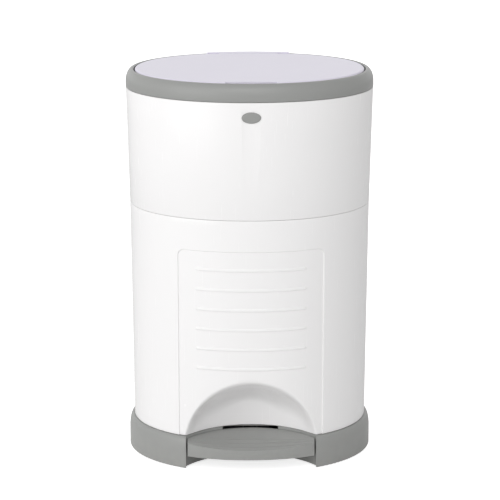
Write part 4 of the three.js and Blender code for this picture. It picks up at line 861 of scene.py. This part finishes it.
class NB_OT_front_door(bpy.types.Operator):
    """Front door: sunk panel with ribs, arch over the foot, hinge knuckles and edge rib"""

    bl_idname = "nappy_bin.front_door"
    bl_label = "Front door"

    def execute(self, context):
        sizes = context.scene.bin_sizes
        self.fillet, self.hollow = sizes.arch_fillet / MM, sizes.arch_hollow / MM
        self.panel_depth, self.rib_rise = sizes.panel_depth / MM, sizes.rib_rise / MM
        columns, rows = self.columns(), self.rows()
        last_column, last_row = len(columns) - 1, len(rows) - 1

        def place(u, v):
            return self.point(columns[round(u * last_column)], rows[round(v * last_row)])

        door = modified(formed(last_column, last_row, place), "SOLIDIFY", thickness=SHELL_WALL, offset=-1)
        soften(door, 0.5, 60)
        for height in HINGE_HEIGHTS:
            weld(door, hinge_knuckle(height, 0))
        low, high = EDGE_RIB
        corners = ((1.5, low), (1.5, high), (8.0, high), (8.0, low))
        rib = oval_loft([(body_half_width(z) - inset, z) for inset, z in corners])
        rib = common(rib, block((60, 200), (17.6, 20.6), (0, 400)))
        weld(door, soften(rib, 0.4))
        stand_in(door, "front_door", "front_door_moulding", 50)
        return {"FINISHED"}

    @staticmethod
    def columns():
        """Places across the door: an x near the front, and beyond it a share of the side."""
        half = spaced((0.0, 2.0, 38), (76.0, 0.8, 10), (84.0, 1.0, 19), (103.0, 0.35, 10), (107.0, 5.0, 9))
        sides = [i / SIDE_STEPS for i in range(1, SIDE_STEPS + 1)]
        left = [("side", -share) for share in reversed(sides)] + [("x", -x) for x in reversed(half[1:])]
        right = [("x", x) for x in half] + [("side", share) for share in sides]
        return left + right

    @staticmethod
    def rows():
        """Heights down the door, close together where the face changes."""
        rows = spaced((DOOR_BOTTOM, 1.45, 61), (141.0, 5.0, 2), (PANEL_TOP - 12, 1.6, 6),
                      (PANEL_TOP - 2.4, 0.3, 10), (334.0, 10.0, 2), (355.0, 11.0, 2))
        steps = (-5, -2.9, -2.4, -1.9, -1.4, -0.9, 0, 0.9, 1.4, 1.9, 2.4, 2.9, 5, RIB_PITCH / 2)
        for i in range(RIB_COUNT):
            rows += [RIB_LOW + i * RIB_PITCH + step for step in steps]
        rows.append(SHELL_TOP)
        return sorted(rows)

    def point(self, column, z):
        kind, value = column
        wide = body_half_width(z)
        if kind == "side":
            side = math.copysign(1, value)
            edge = SPLIT_Y - SPLIT_GAP / 2 if side > 0 else SPLIT_Y - HINGE_RELIEF
            start = self.angle_at(wide, FRONT_REACH)
            stop = math.asin(edge / half_depth(wide))
            stop = math.copysign(abs(math.sin(stop)) ** (OVAL_POWER / 2), edge)
            turn = start + (math.asin(stop) - start) * abs(value)
            point = oval_point(wide, turn, z)
            point.x *= side
            return point
        inset = self.inset(value, z)
        face = -face_depth(wide - inset, value)
        return Vector((value, self.scooped(value, z, face), z))

    @staticmethod
    def angle_at(wide, x):
        """Angle on the front of the outline where it reaches an x."""
        return -math.acos((x / wide) ** (OVAL_POWER / 2))

    def inset(self, x, z):
        """How far the face lies inside the body's outline."""
        across = abs(x) - (PANEL_HALF - PANEL_CORNER)
        up = z - (PANEL_TOP - PANEL_CORNER)
        outside = math.hypot(max(across, 0), max(up, 0)) + min(max(across, up), 0) - PANEL_CORNER
        sunk = self.panel_depth * smooth_step(-outside / PANEL_BLEND)
        along = max(abs(x) - (RIB_HALF - RIB_ROUND), 0)
        nearest = round(min(max((z - RIB_LOW) / RIB_PITCH, 0), RIB_COUNT - 1))
        away = math.hypot(along, z - (RIB_LOW + nearest * RIB_PITCH))
        return sunk - self.rib_rise * smooth_step((RIB_EDGE - away) / RIB_BLEND)

    def scooped(self, x, z, face):
        """Depth of the face once the arch over the foot is pressed in."""
        up = z - ARCH_CENTRE
        inside = math.hypot(x, up) * (1 / math.hypot(x / ARCH_HALF, up / ARCH_RISE) - 1)
        if inside < -2 * self.fillet:
            return face
        steep = (1 + 2.4 * (x / ARCH_HALF) ** 4) / ARCH_SLOPE
        back = BITE_Y + math.sqrt(max(BITE_RADIUS ** 2 - x * x, 0))
        return blend_max(face, blend_min(face + steep * inside, back, self.hollow), steep * self.fillet)


def hinge_knuckle(height, order):
    """Knuckle of the door's hinge: order 0 is the door's, the others are the shell's."""
    low = height + order * KNUCKLE_LENGTH - KNUCKLE_LENGTH / 2 + RUN_GAP / 2
    high = low + KNUCKLE_LENGTH - RUN_GAP
    way = -1 if order == 0 else 1
    reach = way * (HINGE_RELIEF + SHELL_WALL)
    leaf = block((DOOR_PIN_X - 1.2, DOOR_PIN_X + KNUCKLE), (SPLIT_Y, SPLIT_Y + reach), (low, high))
    return soften(boolean(upright(KNUCKLE, (DOOR_PIN_X, SPLIT_Y), low, high), leaf), 0.4)


class NB_OT_rear_shell(bpy.types.Operator):
    """Lower rear shell with its knuckles, screw bosses and strike"""

    bl_idname = "nappy_bin.rear_shell"
    bl_label = "Rear shell"

    def execute(self, context):
        low = DECK + SEAT_GAP
        wide, top = body_half_width(low), body_half_width(SHELL_TOP)
        shell = oval_loft([(wide, low), (top, SHELL_TOP), (top - SHELL_WALL, SHELL_TOP),
                           (wide - SHELL_WALL, low)])
        slice_off(shell, (0, SPLIT_Y + SPLIT_GAP / 2, 0), (0, -1, 0))
        carve(shell, upright(HINGE_RELIEF, (DOOR_PIN_X, SPLIT_Y), 0, 400))
        soften(shell)
        for height in HINGE_HEIGHTS:
            weld(shell, hinge_knuckle(height, -1), hinge_knuckle(height, 1))
        half = SHELL_WALL / 2

        def core():
            return oval_loft([(wide - half, low), (top - half, SHELL_TOP)], "caps")

        for share in (0.12, 0.36, 0.64, 0.88):
            x, y = oval_point(BODY_FOOT - SHELL_WALL - BOSS, math.pi * share, 0).xy
            web = block((x - 1.8, x + 1.8), (y, y + 2 * BOSS), (low, BOSS_TOP))
            boss = common(boolean(upright(BOSS, (x, y), low, BOSS_TOP), web), core())
            weld(shell, soften(carve(boss, upright(2.1, (x, y), 0, BOSS_TOP - 7.5, 24)), 0.3))
        edge = SPLIT_Y + SPLIT_GAP / 2
        reach = face_width(body_half_width(CATCH_HEIGHT) - SHELL_WALL, SPLIT_Y) - 5 - SEAT_GAP
        strike = block((reach - 6, top), (edge, edge + 7), (CATCH_HEIGHT, CATCH_HEIGHT + STRIKE_LENGTH))
        weld(shell, soften(common(strike, core()), 0.4))
        stand_in(shell, "lower_rear_shell", "rear_shell_moulding")
        return {"FINISHED"}


class NB_OT_base(bpy.types.Operator):
    """Base plinth with its rounded shoulder, foot space and pedal slot"""

    bl_idname = "nappy_bin.base"
    bl_label = "Base"

    def execute(self, context):
        base = self.solid(0)
        hollow = self.solid(SHELL_WALL)
        carve(hollow, bite_cutter(SHELL_WALL))
        carve(base, hollow, bite_cutter(0))
        slot = block((-SLOT_HALF, SLOT_HALF), (-90, -65.5), (SLOT_LOW, DECK + 1))
        carve(base, slot, upright(ROD_HOLE, (0, ROD_Y), 30, 60, 32))
        soften(base, 0.7, 33)
        bosses = [soften(upright(PAD_BOSS, place, 2.9, BASE_INSIDE), 0.5) for place in PAD_PLACES]
        y, z = PIVOT
        near = SLOT_HALF + RUN_GAP
        for side in (-1, 1):
            x = (side * near, side * (near + 4))
            cheek = block(x, (y - CHEEK, y + CHEEK), (z, BASE_INSIDE))
            bosses.append(soften(boolean(cheek, axle(CHEEK, x, y, z)), 0.4))
        weld(base, *bosses)
        stand_in(base, "base_plinth", "base_moulding", 35)
        return {"FINISHED"}

    @staticmethod
    def solid(inset):
        foot = PLINTH_FOOT if inset == 0 else PLINTH_FOOT - 20
        shoulder = arc((0, 0), 1, 0, 90, 10)
        wide, high = PLINTH_TOP - inset, PLINTH_WALL_HEIGHT - inset
        rise, reach = DECK - PLINTH_WALL_HEIGHT, PLINTH - PLINTH_TOP
        section = [(wide + reach * x, high + rise * z) for x, z in shoulder]
        return oval_loft([(PLINTH - inset, foot), *section], "caps")


class NB_OT_top_ring(bpy.types.Operator):
    """Top ring with its ledge, finger tab and ribs, and the lid-coloured hinge cover"""

    bl_idname = "nappy_bin.top_ring"
    bl_label = "Top ring"

    def execute(self, context):
        bottom = RING_HEIGHT + SEAT_GAP
        crown = [(RING - RING_ROUND + RING_ROUND * (x / RING_SHOULDER), z)
                 for x, z in arc((0, RIDGE_HEIGHT - RING_SHOULDER), RING_SHOULDER, 0, 90, 18)]
        ring = oval_loft([
            (RING - 0.6, bottom), (RING - 0.15, bottom + 0.15), (RING, bottom + 0.6),
            *crown,
            *arc((RING_INNER + 1.5, RIDGE_HEIGHT - 1.55), 1.5, 80, 180, 5),
            (RING_INNER, bottom),
            (RING_INNER + RING_WALL, bottom),
            (RING_INNER + RING_WALL, RIDGE_HEIGHT - 2 * RING_WALL),
            (RING - 2 * RING_WALL, RIDGE_HEIGHT - RING_SHOULDER / 2),
            (RING - RING_WALL, RIDGE_HEIGHT - RING_SHOULDER),
            (RING - RING_WALL, bottom),
        ])
        shut = (-COVER_HALF - SEAT_GAP, COVER_HALF + SEAT_GAP)
        carve(ring, block(shut, (80, 200), (COVER_LOW, 600)))
        edge = RING_INNER + 1
        ledge = oval_loft([(edge, LEDGE_HEIGHT - 3), (edge, LEDGE_HEIGHT),
                           (MOUTH + 0.4, LEDGE_HEIGHT, MOUTH_Y), (MOUTH, LEDGE_HEIGHT - 0.4, MOUTH_Y),
                           (MOUTH, LEDGE_HEIGHT - 3, MOUTH_Y)])
        inner = oval_loft([(edge, COVER_LOW), (edge, LID_EDGE)], "caps")
        inner = soften(slice_off(inner, (0, COVER_FRONT, 0), (0, -1, 0)), 0.5)
        cover = oval_loft([(2, COVER_LOW + 0.3), (RING - 1.4, COVER_LOW + 0.3),
                           *arc((RING - 4.2, LID_TOP - 2.7), 2.6, 0, 90, 6), (2, LID_TOP - 0.1)], "points")
        cover = common(cover, block((-COVER_HALF, COVER_HALF), (COVER_FRONT - 0.4, 200), (500, 600)))
        soften(cover, 0.5, 45)
        carve(ledge, block(*ROD_SLOT, (540, COVER_LOW)))
        for side in (-1, 1):
            x = (side * (TAB_X - RUN_GAP), side * (TAB_X + TAB_WIDTH + RUN_GAP))
            y, z = LID_PIN
            reach = LID_BARREL + RUN_GAP
            for part in (ring, inner, cover):
                carve(part, block(x, (LID_REAR, y + reach), (z, 580)),
                      block(x, (LID_REAR, y), (COVER_LOW - RUN_GAP, 580)), axle(reach, x, y, z))
        y, z = TOP_PIN
        x = (-TOP_KNUCKLE_HALF, TOP_KNUCKLE_HALF)
        leaf = block(x, (y - 1.7, y + 1.7), (z, 549))
        leaf = soften(boolean(leaf, axle(TOP_KNUCKLE, x, y, z)), 0.3)
        rise = (547.6, RIDGE_HEIGHT - RING_ROUND)
        ribs = [soften(block((side * 8.5, side * 11), (-144.9, -136.4), rise), 0.3) for side in (-1, 1)]
        front = -half_depth(RING_INNER) - 1.5
        back = -half_depth(LID) + NOTCH_DEPTH - 1
        outline = [(-35, front, 560.5), (-35, back, 560.5), (-35, back, 566.2), (-35, front, 570.4)]
        tab = soften(prism(outline, (70, 0, 0)), 0.5)
        weld(ring, ledge, inner, leaf, tab, *ribs)
        stand_in(ring, "top_ring", "top_ring_moulding", 35)
        # The hinge cover takes the lid's finish, with its painted lavender reflection and painted shade.
        complete(cover, "hinge_cover", "top_unit", "lid", 35)
        return {"FINISHED"}


class NB_OT_lid(bpy.types.Operator):
    """Lid: gently domed plate with a skirt, finger notch and hinge tabs"""

    bl_idname = "nappy_bin.lid"
    bl_label = "Lid"

    def execute(self, context):
        def dome(radius):
            return (radius, LID_TOP - 0.35 * (radius / LID) ** 3)

        skirt = LID_EDGE - 6.4
        plate = LID_EDGE - 2.6
        lid = oval_loft([
            (2, plate), (LID - 2.5, plate), (LID - 2.5, skirt), (LID, skirt),
            (LID, LID_EDGE - 0.9), (LID - 0.1, LID_EDGE - 0.5), (LID - 0.4, LID_EDGE - 0.1),
            (LID - 1.7, dome(LID)[1] - 0.15), (LID - 2.1, dome(LID)[1]),
            *[dome(radius) for radius in (163, 160, 155, 148, 138, 125, 110, 90, 65, 35, 2)],
        ], "points")
        back = -half_depth(LID) + NOTCH_DEPTH
        carve(lid, block((-NOTCH_HALF, NOTCH_HALF), (-200, back), (500, 600)))
        slice_off(lid, (0, LID_REAR, 0), (0, 1, 0))
        soften(lid, 1.2, 45, 3)
        wide = face_width(LID - 2.5, LID_REAR - 1)
        parts = [
            block((-NOTCH_HALF - 2, NOTCH_HALF + 2), (back + 0.05, back + 2.5), (skirt, plate + 0.5)),
            block((-wide, wide), (LID_REAR - 2.5, LID_REAR - 0.05), (skirt, plate + 0.5)),
        ]
        y, z = LID_PIN
        for side in (-1, 1):
            x = (side * TAB_X, side * (TAB_X + TAB_WIDTH))
            tab = block(x, (LID_REAR - 1.2, y), (z - LID_BARREL, z + LID_BARREL))
            parts.append(boolean(tab, axle(LID_BARREL, x, y, z)))
        weld(lid, *[soften(part, 0.3) for part in parts])
        stand_in(lid, "lid_panel", "lid_moulding", 30)
        return {"FINISHED"}


class NB_OT_pedal(bpy.types.Operator):
    """Pedal tread with its dished top, rounded front edge and grip ridges"""

    bl_idname = "nappy_bin.pedal"
    bl_label = "Pedal"

    def execute(self, context):
        tread = self.body(0, 60)
        hollow = self.body(SHELL_WALL, 24)
        room = block((-38.5, 38.5), (-81, -50), (-20, TREAD_REAR_TOP - 3))
        carve(tread, hollow, room)
        soften(tread, 1.5, 40, 4)
        stand_in(tread, "pedal_tread", "tread_moulding", 35)
        return {"FINISHED"}

    def body(self, inset, across):
        """Closed tread, or the hollow inside it."""
        half = TREAD_HALF - inset
        grips = (0.16, 0.33, 0.50)
        tops = [i / 60 for i in range(61)]

        def place(u, v):
            x = half * (2 * u - 1)
            rear = BITE_Y + math.sqrt((TREAD_RADIUS - inset) ** 2 - x * x)
            front = -face_depth(TREAD_RIM - inset, x)
            rim = TREAD_FRONT_TOP + (TREAD_SIDE_TOP - TREAD_FRONT_TOP) * (x / TREAD_HALF) ** 2 - inset
            index = round(v * (len(tops) + 2))
            if index == 0 or index == len(tops) + 2:
                return Vector((x, rear, TREAD_REAR_LOW - inset * 8))
            if index == 1:
                return Vector((x, front, TREAD_FRONT_LOW - inset * 8))
            share = tops[index - 2]
            y = front + (rear - front) * share
            z = rim + (TREAD_REAR_TOP - inset - rim) * share
            if inset == 0:
                length = rear - front
                for grip in grips:
                    away = abs(share - grip) * length
                    z += GRIP_RISE * smooth_step((1.9 - away) / 1.5) * smooth_step((half - abs(x)) / 6)
            return Vector((x, y, z))

        obj = formed(across, len(tops) + 2, place)
        merge_doubles(obj, 0.0005, False)
        for end in (-half, half):
            edited(obj, bpy.ops.mesh.edge_face_add, lambda v: abs(v.co.x - end) < 0.01)
        return merge_doubles(obj, 0.0005)


class NB_OT_button(bpy.types.Operator):
    """Oval release button with a softly crowned face"""

    bl_idname = "nappy_bin.button"
    bl_label = "Button"

    def execute(self, context):
        face = -half_depth(body_half_width(BUTTON_HEIGHT))
        width = BUTTON_HALF_WIDTH
        section = [
            (width + 2.6, -5.2), (width + 2.6, -4.0), (width, -4.0), (width, 0.0),
            (width - 0.25, 0.55), (width - 0.9, 0.8), (width - 1.8, 0.85), (width * 0.6, 0.9), (1.0, 0.9),
        ]
        button = lathe(section, sides=96, ends="points")
        squash = BUTTON_HALF_HEIGHT / BUTTON_HALF_WIDTH
        for v in button.data.vertices:
            v.co = (v.co.x, face - v.co.z, BUTTON_HEIGHT + v.co.y * squash)
        stem = bar(2, (0, face + 4, BUTTON_HEIGHT), (0, STEM_END, BUTTON_HEIGHT), 32)
        weld(merge_doubles(button), stem)
        stand_in(button, "release_button", "button_moulding")
        return {"FINISHED"}


class NB_OT_shelf(bpy.types.Operator):
    """Shelf in the seam, with its rim, skirt, ribs and holes for the film and the rod"""

    bl_idname = "nappy_bin.shelf"
    bl_label = "Shelf"

    def execute(self, context):
        shelf = oval_loft([(2, 373.5), (169, 373.5), (169, 376.75), (172.5, 376.75), (172.5, 391),
                           (169.5, 391), (169.5, 377), (2, 377)], "points")
        rear = ((-200, 200), (29.5, 200), (300, 500))
        skirt = common(oval_loft([(169.5, 365), (172.5, 365), (172.5, 377.5), (169.5, 377.5)]), block(*rear))
        web = common(oval_loft([(166, 373.5), (171, 373.5), (171, 377), (166, 377)]), block(*rear))
        ribs = []
        for angle in range(20, 180, 20):
            way = Vector((math.cos(math.radians(angle)), math.sin(math.radians(angle)), 0))
            end = oval_point(166, math.radians(angle), 0)
            start = Vector((0, THROAT_Y, 0)) + way * 99
            across = (end - start).cross(Vector((0, 0, 1))).normalized() * 0.8
            corners = (start + across, end + across, end - across, start - across)
            ribs.append(prism([(*corner.xy, 369.5) for corner in corners], (0, 0, 4.2)))
        carve(shelf, upright(96, (0, THROAT_Y), 360, 400, 144))
        weld(shelf, skirt, web, *ribs)
        carve(shelf, upright(ROD_HOLE, (0, ROD_Y), 360, 400))
        soften(shelf, 0.35, 50)
        stand_in(shelf, "cassette_shelf", "shelf_moulding")
        return {"FINISHED"}


class NB_OT_refill(bpy.types.Operator):
    """Refill: open cassette with the pleated film packed in it"""

    bl_idname = "nappy_bin.refill"
    bl_label = "Refill"

    def execute(self, context):
        inner, outer, crown, middle, last = 97.8, 110.0, 50, 70, 121
        section = [(95, 377.3), (113, 377.3), (113, 380.4), (112.3, 381.2), (112.3, 426.2), (113, 427),
                   (113, 429.3), (110.8, 429.3), (110.8, 379.5), (97.2, 379.5), (97.2, 430.2), (97.8, 430.8),
                   (97.8, 431.5), (95, 431.5)]
        case = lathe(section, (0, THROAT_Y), 144)
        stand_in(soften(case, 0.3), "refill_cassette", "refill_case")
        pleats = context.scene.bin_sizes.film_pleats
        floor, rows = 379.9, 142

        def place(u, v):
            angle = 2 * math.pi * u
            row = round(v * rows)
            wave = angle * pleats
            ruffle = math.sin(wave) + 0.5 * math.sin(1.7 * wave + 1.3 * math.sin(3 * angle))
            slow = math.sin(5 * angle) + 0.6 * math.sin(11 * angle + 1.0)
            if row <= crown:
                z = floor + row * FOLD
                radius = outer + 0.2 - (1.0 if row % 2 else 0.1) - 0.25 * abs(math.sin(7 * angle + row * 1.9))
            elif row <= middle:
                share = (row - crown) / (middle - crown)
                radius = outer + (inner - outer) * share
                z = floor + crown * FOLD + (1.6 + 0.55 * ruffle + 0.35 * slow) * math.sin(math.pi * share)
            elif row <= last:
                back = last - row
                z = floor + back * FOLD
                radius = inner + (1.1 if back % 2 else 0.1) + 0.3 * abs(math.sin(6 * angle + back * 2.3))
            else:
                share = (row - last) / (rows - last)
                z, radius = floor, inner + 0.1 + (outer - inner) * share
            return round_point(radius, angle, z)

        film = merge_doubles(formed(540, rows, place), 0.0005)
        stand_in(film, "film_pack", "film_pleats", 60)
        return {"FINISHED"}


class NB_OT_funnel(bpy.types.Operator):
    """Funnel from the oval mouth down to the round throat, with its lugs and wiper seal"""

    bl_idname = "nappy_bin.funnel"
    bl_label = "Funnel"

    def execute(self, context):
        top, low, end, steps, power = 558.7, 492.0, THROAT_LOW, 16, 0.62
        wall, brim = 2.5, 28.0
        inner, outer = [], []
        for i in range(steps + 1):
            share = i / steps
            z = top + (low - top) * (1 - (1 - share) ** (1 / power))
            inner.append((share ** power, 0.0, z))
            outer.append((share ** power, wall, z - wall * (1 - share)))
        rows = [*inner, (1, 0.0, end), (1, wall, end), *reversed(outer), (0, brim, top - 2.8), (0, brim, top),
                inner[0]]

        def place(u, v):
            angle, (share, outset, z) = 2 * math.pi * u, rows[round(v * (len(rows) - 1))]
            oval = oval_point(MOUTH + outset, angle, z) + Vector((0, MOUTH_Y if outset < brim else 0, 0))
            return oval.lerp(round_point(THROAT + outset, angle, z), share)

        funnel = merge_doubles(formed(160, len(rows) - 1, place), 0.001)
        carve(funnel, block(*ROD_SLOT, (low, 566)), block((-10.5, 10.5), (-200, -132.2), (low, 546.2)))
        soften(funnel, 0.35, 45)
        for side in (-1, 1):
            for way in (-1, 1):
                y = sorted((THROAT_Y + way * 18.5, THROAT_Y + way * 24.5))
                lug = carve(block((side * 60, side * 75.3), y, (end, 486.4)),
                            upright(THROAT + 0.8, (0, THROAT_Y), 400, 500, 96))
                x, z = side * FLAP_PIN_X, FLAP_PIN_Z
                eye = block((x - FLAP_EYE, x + FLAP_EYE), y, (z, end + 2.5))
                eye = boolean(eye, bar(FLAP_EYE, (x, y[0], z), (x, y[1], z)))
                weld(funnel, soften(lug, 0.4), soften(eye, 0.3))
        stand_in(funnel, "throat_funnel", "funnel_moulding", 35)
        section = [(60.4, 473.9), (62.5, 472.1), (65.0, 470.4), (65.4, 470.7), (65.4, 474.4), (64.9, 474.9),
                   (63.6, 474.6), (61.0, 475.5), (60.4, 475.2)]
        seal = lathe(section, (0, THROAT_Y), 144)
        stand_in(soften(seal, 0.15, 50), "throat_seal", "throat_wiper", 60)
        return {"FINISHED"}


class NB_OT_flaps(bpy.types.Operator):
    """The two sprung trap doors under the throat"""

    bl_idname = "nappy_bin.flaps"
    bl_label = "Trap doors"

    def execute(self, context):
        top, radius = 466.2, 67.5
        for side, node in ((-1, "flap_left"), (1, "flap_right")):
            x, y = side * FLAP_PIN_X, (THROAT_Y - 18, THROAT_Y + 18)
            flap = upright(radius, (0, THROAT_Y), top - 2.6, top, 144)
            flap = common(flap, block((side * 0.3, side * 200), (-200, 200), (400, 500)))
            rim = carve(upright(radius - 4, (0, THROAT_Y), top - 3.4, top - 2, 144),
                        upright(radius - 5.6, (0, THROAT_Y), 450, 480, 144))
            rim = common(rim, block((side * 3, side * 56), (-200, 200), (400, 500)))
            tongue = block((side * (radius - 6), x), y, (top - 2.6, top - 0.5))
            tongue = boolean(tongue, bar(FLAP_EYE, (x, y[0], FLAP_PIN_Z), (x, y[1], FLAP_PIN_Z)))
            for part in (flap, tongue):
                carve(part, bar(3.6, (x, THROAT_Y - 3.7, FLAP_PIN_Z), (x, THROAT_Y + 3.7, FLAP_PIN_Z)))
            weld(soften(flap, 0.35), soften(rim, 0.3), soften(tongue, 0.3))
            stand_in(flap, node, node + "_moulding")
        return {"FINISHED"}


class NB_OT_lid_liner(bpy.types.Operator):
    """Liner tray under the lid, with the seal round it"""

    bl_idname = "nappy_bin.lid_liner"
    bl_label = "Lid liner"

    def execute(self, context):
        section = [(2, 565.9), (134, 565.9), (136.5, 567.8), (141.5, 567.8), (141.5, 565.9), (140.6, 564.9),
                   (138.4, 563.7), (136.5, 563.4), (126, 563.4), (124.6, 563.7), (123.6, 564.3), (2, 564.3)]
        tray = oval_loft([(*point, MOUTH_Y) for point in section], "points")
        stand_in(slice_off(tray, (0, 97.3, 0), (0, 1, 0)), "lid_liner", "liner_tray", 30)
        section = ((2, 562.3), (146, 562.3), (147, 567.8), (2, 567.8))
        seal = oval_loft([(*point, MOUTH_Y) for point in section], "points")
        room = oval_loft([(143, 540, MOUTH_Y), (143, 590, MOUTH_Y)], "caps")
        slice_off(seal, (0, 101.6, 0), (0, 1, 0))
        carve(seal, slice_off(room, (0, 98.1, 0), (0, 1, 0)))
        stand_in(soften(seal, 0.9, 45, 3), "lid_seal", "lid_gasket", 50)
        return {"FINISHED"}


class NB_OT_rod(bpy.types.Operator):
    """Push rod with its guide tube"""

    bl_idname = "nappy_bin.rod"
    bl_label = "Push rod"

    def execute(self, context):
        rod = lathe([(0.4, 18.4), (2, 18.4), (3.4, 19.2), (4, 20.6), (4, 552.2), (4.5, 552.6), (4.5, 555.4),
                     (3.8, 556.2), (0.4, 556.2)], (0, ROD_Y), 48, "points")
        stand_in(merge_doubles(rod), "push_rod", "push_rod_bar")
        tube = lathe([(4.6, 377.3), (11, 377.3), (11, 379.4), (8.2, 380.4), (7, 382.6), (7, 526.8),
                      (6.4, 528), (4.6, 528)], (0, ROD_Y), 48)
        tube = common(tube, block((-20, 20), (ROD_Y - 6.9, ROD_Y + 20), (300, 600)))
        stand_in(soften(tube, 0.25, 50), "rod_guide", "rod_tube")
        return {"FINISHED"}


class NB_OT_pins(bpy.types.Operator):
    """Steel pins of the hinges and the latch, with chamfered ends"""

    bl_idname = "nappy_bin.pins"
    bl_label = "Pins"

    def execute(self, context):
        y, z = PIVOT
        pins = [("pedal_pin", 2.95, (-45.5, y, z), (45.5, y, z)),
                ("top_hinge_pin", 1.55, (-38, *TOP_PIN), (38, *TOP_PIN)),
                ("latch_pin", 1.05, (-11, -140.4, 552), (11, -140.4, 552)),
                ("door_pin_1", 1.45, (DOOR_PIN_X, SPLIT_Y, 83), (DOOR_PIN_X, SPLIT_Y, 125)),
                ("door_pin_2", 1.45, (DOOR_PIN_X, SPLIT_Y, 301), (DOOR_PIN_X, SPLIT_Y, 343))]
        for side, hand in ((-1, "left"), (1, "right")):
            pins.append(("lid_pin_" + hand, 1.45, (side * 39.5, *LID_PIN), (side * 65.5, *LID_PIN)))
            pins.append(("flap_pin_" + hand, 1.15, (side * FLAP_PIN_X, THROAT_Y - 24.5, FLAP_PIN_Z),
                         (side * FLAP_PIN_X, THROAT_Y + 24.5, FLAP_PIN_Z)))
        for node, radius, start, end in pins:
            stand_in(soften(bar(radius, start, end, 40), 0.3), node, node + "_rod")
        return {"FINISHED"}


class NB_OT_screws(bpy.types.Operator):
    """Cross-head screws under the base and the pedal"""

    bl_idname = "nappy_bin.screws"
    bl_label = "Screws"

    def execute(self, context):
        places = {"base_screw_1": (153.55, 50.2, 41.9, 60.3), "base_screw_2": (72.5, 119.1, 41.9, 60.3),
                  "base_screw_3": (-72.5, 119.1, 41.9, 60.3), "base_screw_4": (-153.55, 50.2, 41.9, 60.3),
                  "pedal_screw_left": (-24, -97, 28.1, 39.5), "pedal_screw_right": (24, -97, 28.1, 39.5)}
        for node, (x, y, low, high) in places.items():
            section = [(0.3, low), (1.6, low + 0.05), (3.0, low + 0.5), (3.7, low + 1.3), (3.75, low + 2.4),
                       (1.5, low + 2.4)]
            z = low + 2.8
            while z < high - 1.4:
                section += [(1.45, z), (1.78, z + 0.35), (1.45, z + 0.7)]
                z += 0.95
            section += [(1.2, high - 0.9), (0.3, high)]
            screw = merge_doubles(lathe(section, (x, y), 32, "points"))
            for wide, deep in ((2.1, 0.4), (0.4, 2.1)):
                carve(screw, block((x - wide, x + wide), (y - deep, y + deep), (low - 1, low + 1.3)))
            stand_in(screw, node, node + "_steel", 35)
        return {"FINISHED"}


class NB_OT_pads(bpy.types.Operator):
    """Rubber feet with a rounded rim and a ring groove"""

    bl_idname = "nappy_bin.pads"
    bl_label = "Feet"

    def execute(self, context):
        for i, place in enumerate(PAD_PLACES, 1):
            pad = lathe([(0.4, 0.0), (4.6, 0.0), (5.0, 0.5), (5.8, 0.5), (6.2, 0.0), (7.9, 0.0), (8.6, 0.35),
                         (8.95, 1.1), (8.95, 2.6), (0.4, 2.6)], place, 64, "points")
            stand_in(merge_doubles(pad), f"foot_pad_{i}", f"foot_{i}")
        return {"FINISHED"}


class NB_OT_works(bpy.types.Operator):
    """Levers, latch, springs, guides, catch and cutter, with their edges rounded"""

    bl_idname = "nappy_bin.works"
    bl_label = "Works"

    def execute(self, context):
        rounded = {"pedal_lever": 0.6, "lid_lever": 0.4, "latch_arm": 0.3, "button_guide": 0.4,
                   "rod_cover": 0.5, "door_catch": 0.8, "cutter_housing": 1.0, "cutter_blade": 0.12}
        for node, width in rounded.items():
            part = edited(refined(node), bpy.ops.mesh.dissolve_limited, angle_limit=math.radians(1))
            stand_in(soften(part, width, 35), node, node + "_part", 35)
        for node in ("pedal_spring", "flap_spring_left", "flap_spring_right"):
            stand_in(modified(refined(node), "SUBSURF", levels=1, render_levels=1), node, node + "_wire", 60)
        return {"FINISHED"}


class NB_PT_panel(bpy.types.Panel):
    """Lists the steps that build the bin"""

    bl_label = "Nappy Bin"
    bl_idname = "NB_PT_panel"
    bl_space_type = "VIEW_3D"
    bl_region_type = "UI"
    bl_category = "Nappy Bin"

    def draw(self, context):
        for group in (context.scene.bin_sizes, context.scene.bin_colours, context.scene.bin_stage):
            box = self.layout.box()
            for name in group.bl_rna.properties.keys():
                if name not in ("rna_type", "name"):
                    box.prop(group, name)
        for step in STEPS:
            self.layout.operator(step.bl_idname)


STEPS = (
    NB_OT_stage, NB_OT_finishes, NB_OT_upper_shell, NB_OT_front_door, NB_OT_rear_shell, NB_OT_base,
    NB_OT_top_ring, NB_OT_lid, NB_OT_pedal, NB_OT_button, NB_OT_shelf, NB_OT_refill, NB_OT_funnel,
    NB_OT_flaps, NB_OT_lid_liner, NB_OT_rod, NB_OT_pins, NB_OT_screws, NB_OT_pads, NB_OT_works,
)
GROUPS = {"bin_sizes": BinSizes, "bin_colours": BinColours, "bin_stage": BinStage}


def register():
    for name, group in GROUPS.items():
        bpy.utils.register_class(group)
        setattr(bpy.types.Scene, name, PointerProperty(type=group))
    for item in (*STEPS, NB_PT_panel):
        bpy.utils.register_class(item)


def unregister():
    for item in reversed((*STEPS, NB_PT_panel)):
        bpy.utils.unregister_class(item)
    for name, group in GROUPS.items():
        delattr(bpy.types.Scene, name)
        bpy.utils.unregister_class(group)


def main():
    register()
    for step in STEPS:
        family, name = step.bl_idname.split(".")
        getattr(getattr(bpy.ops, family), name)()


if __name__ == "__main__":
    main()
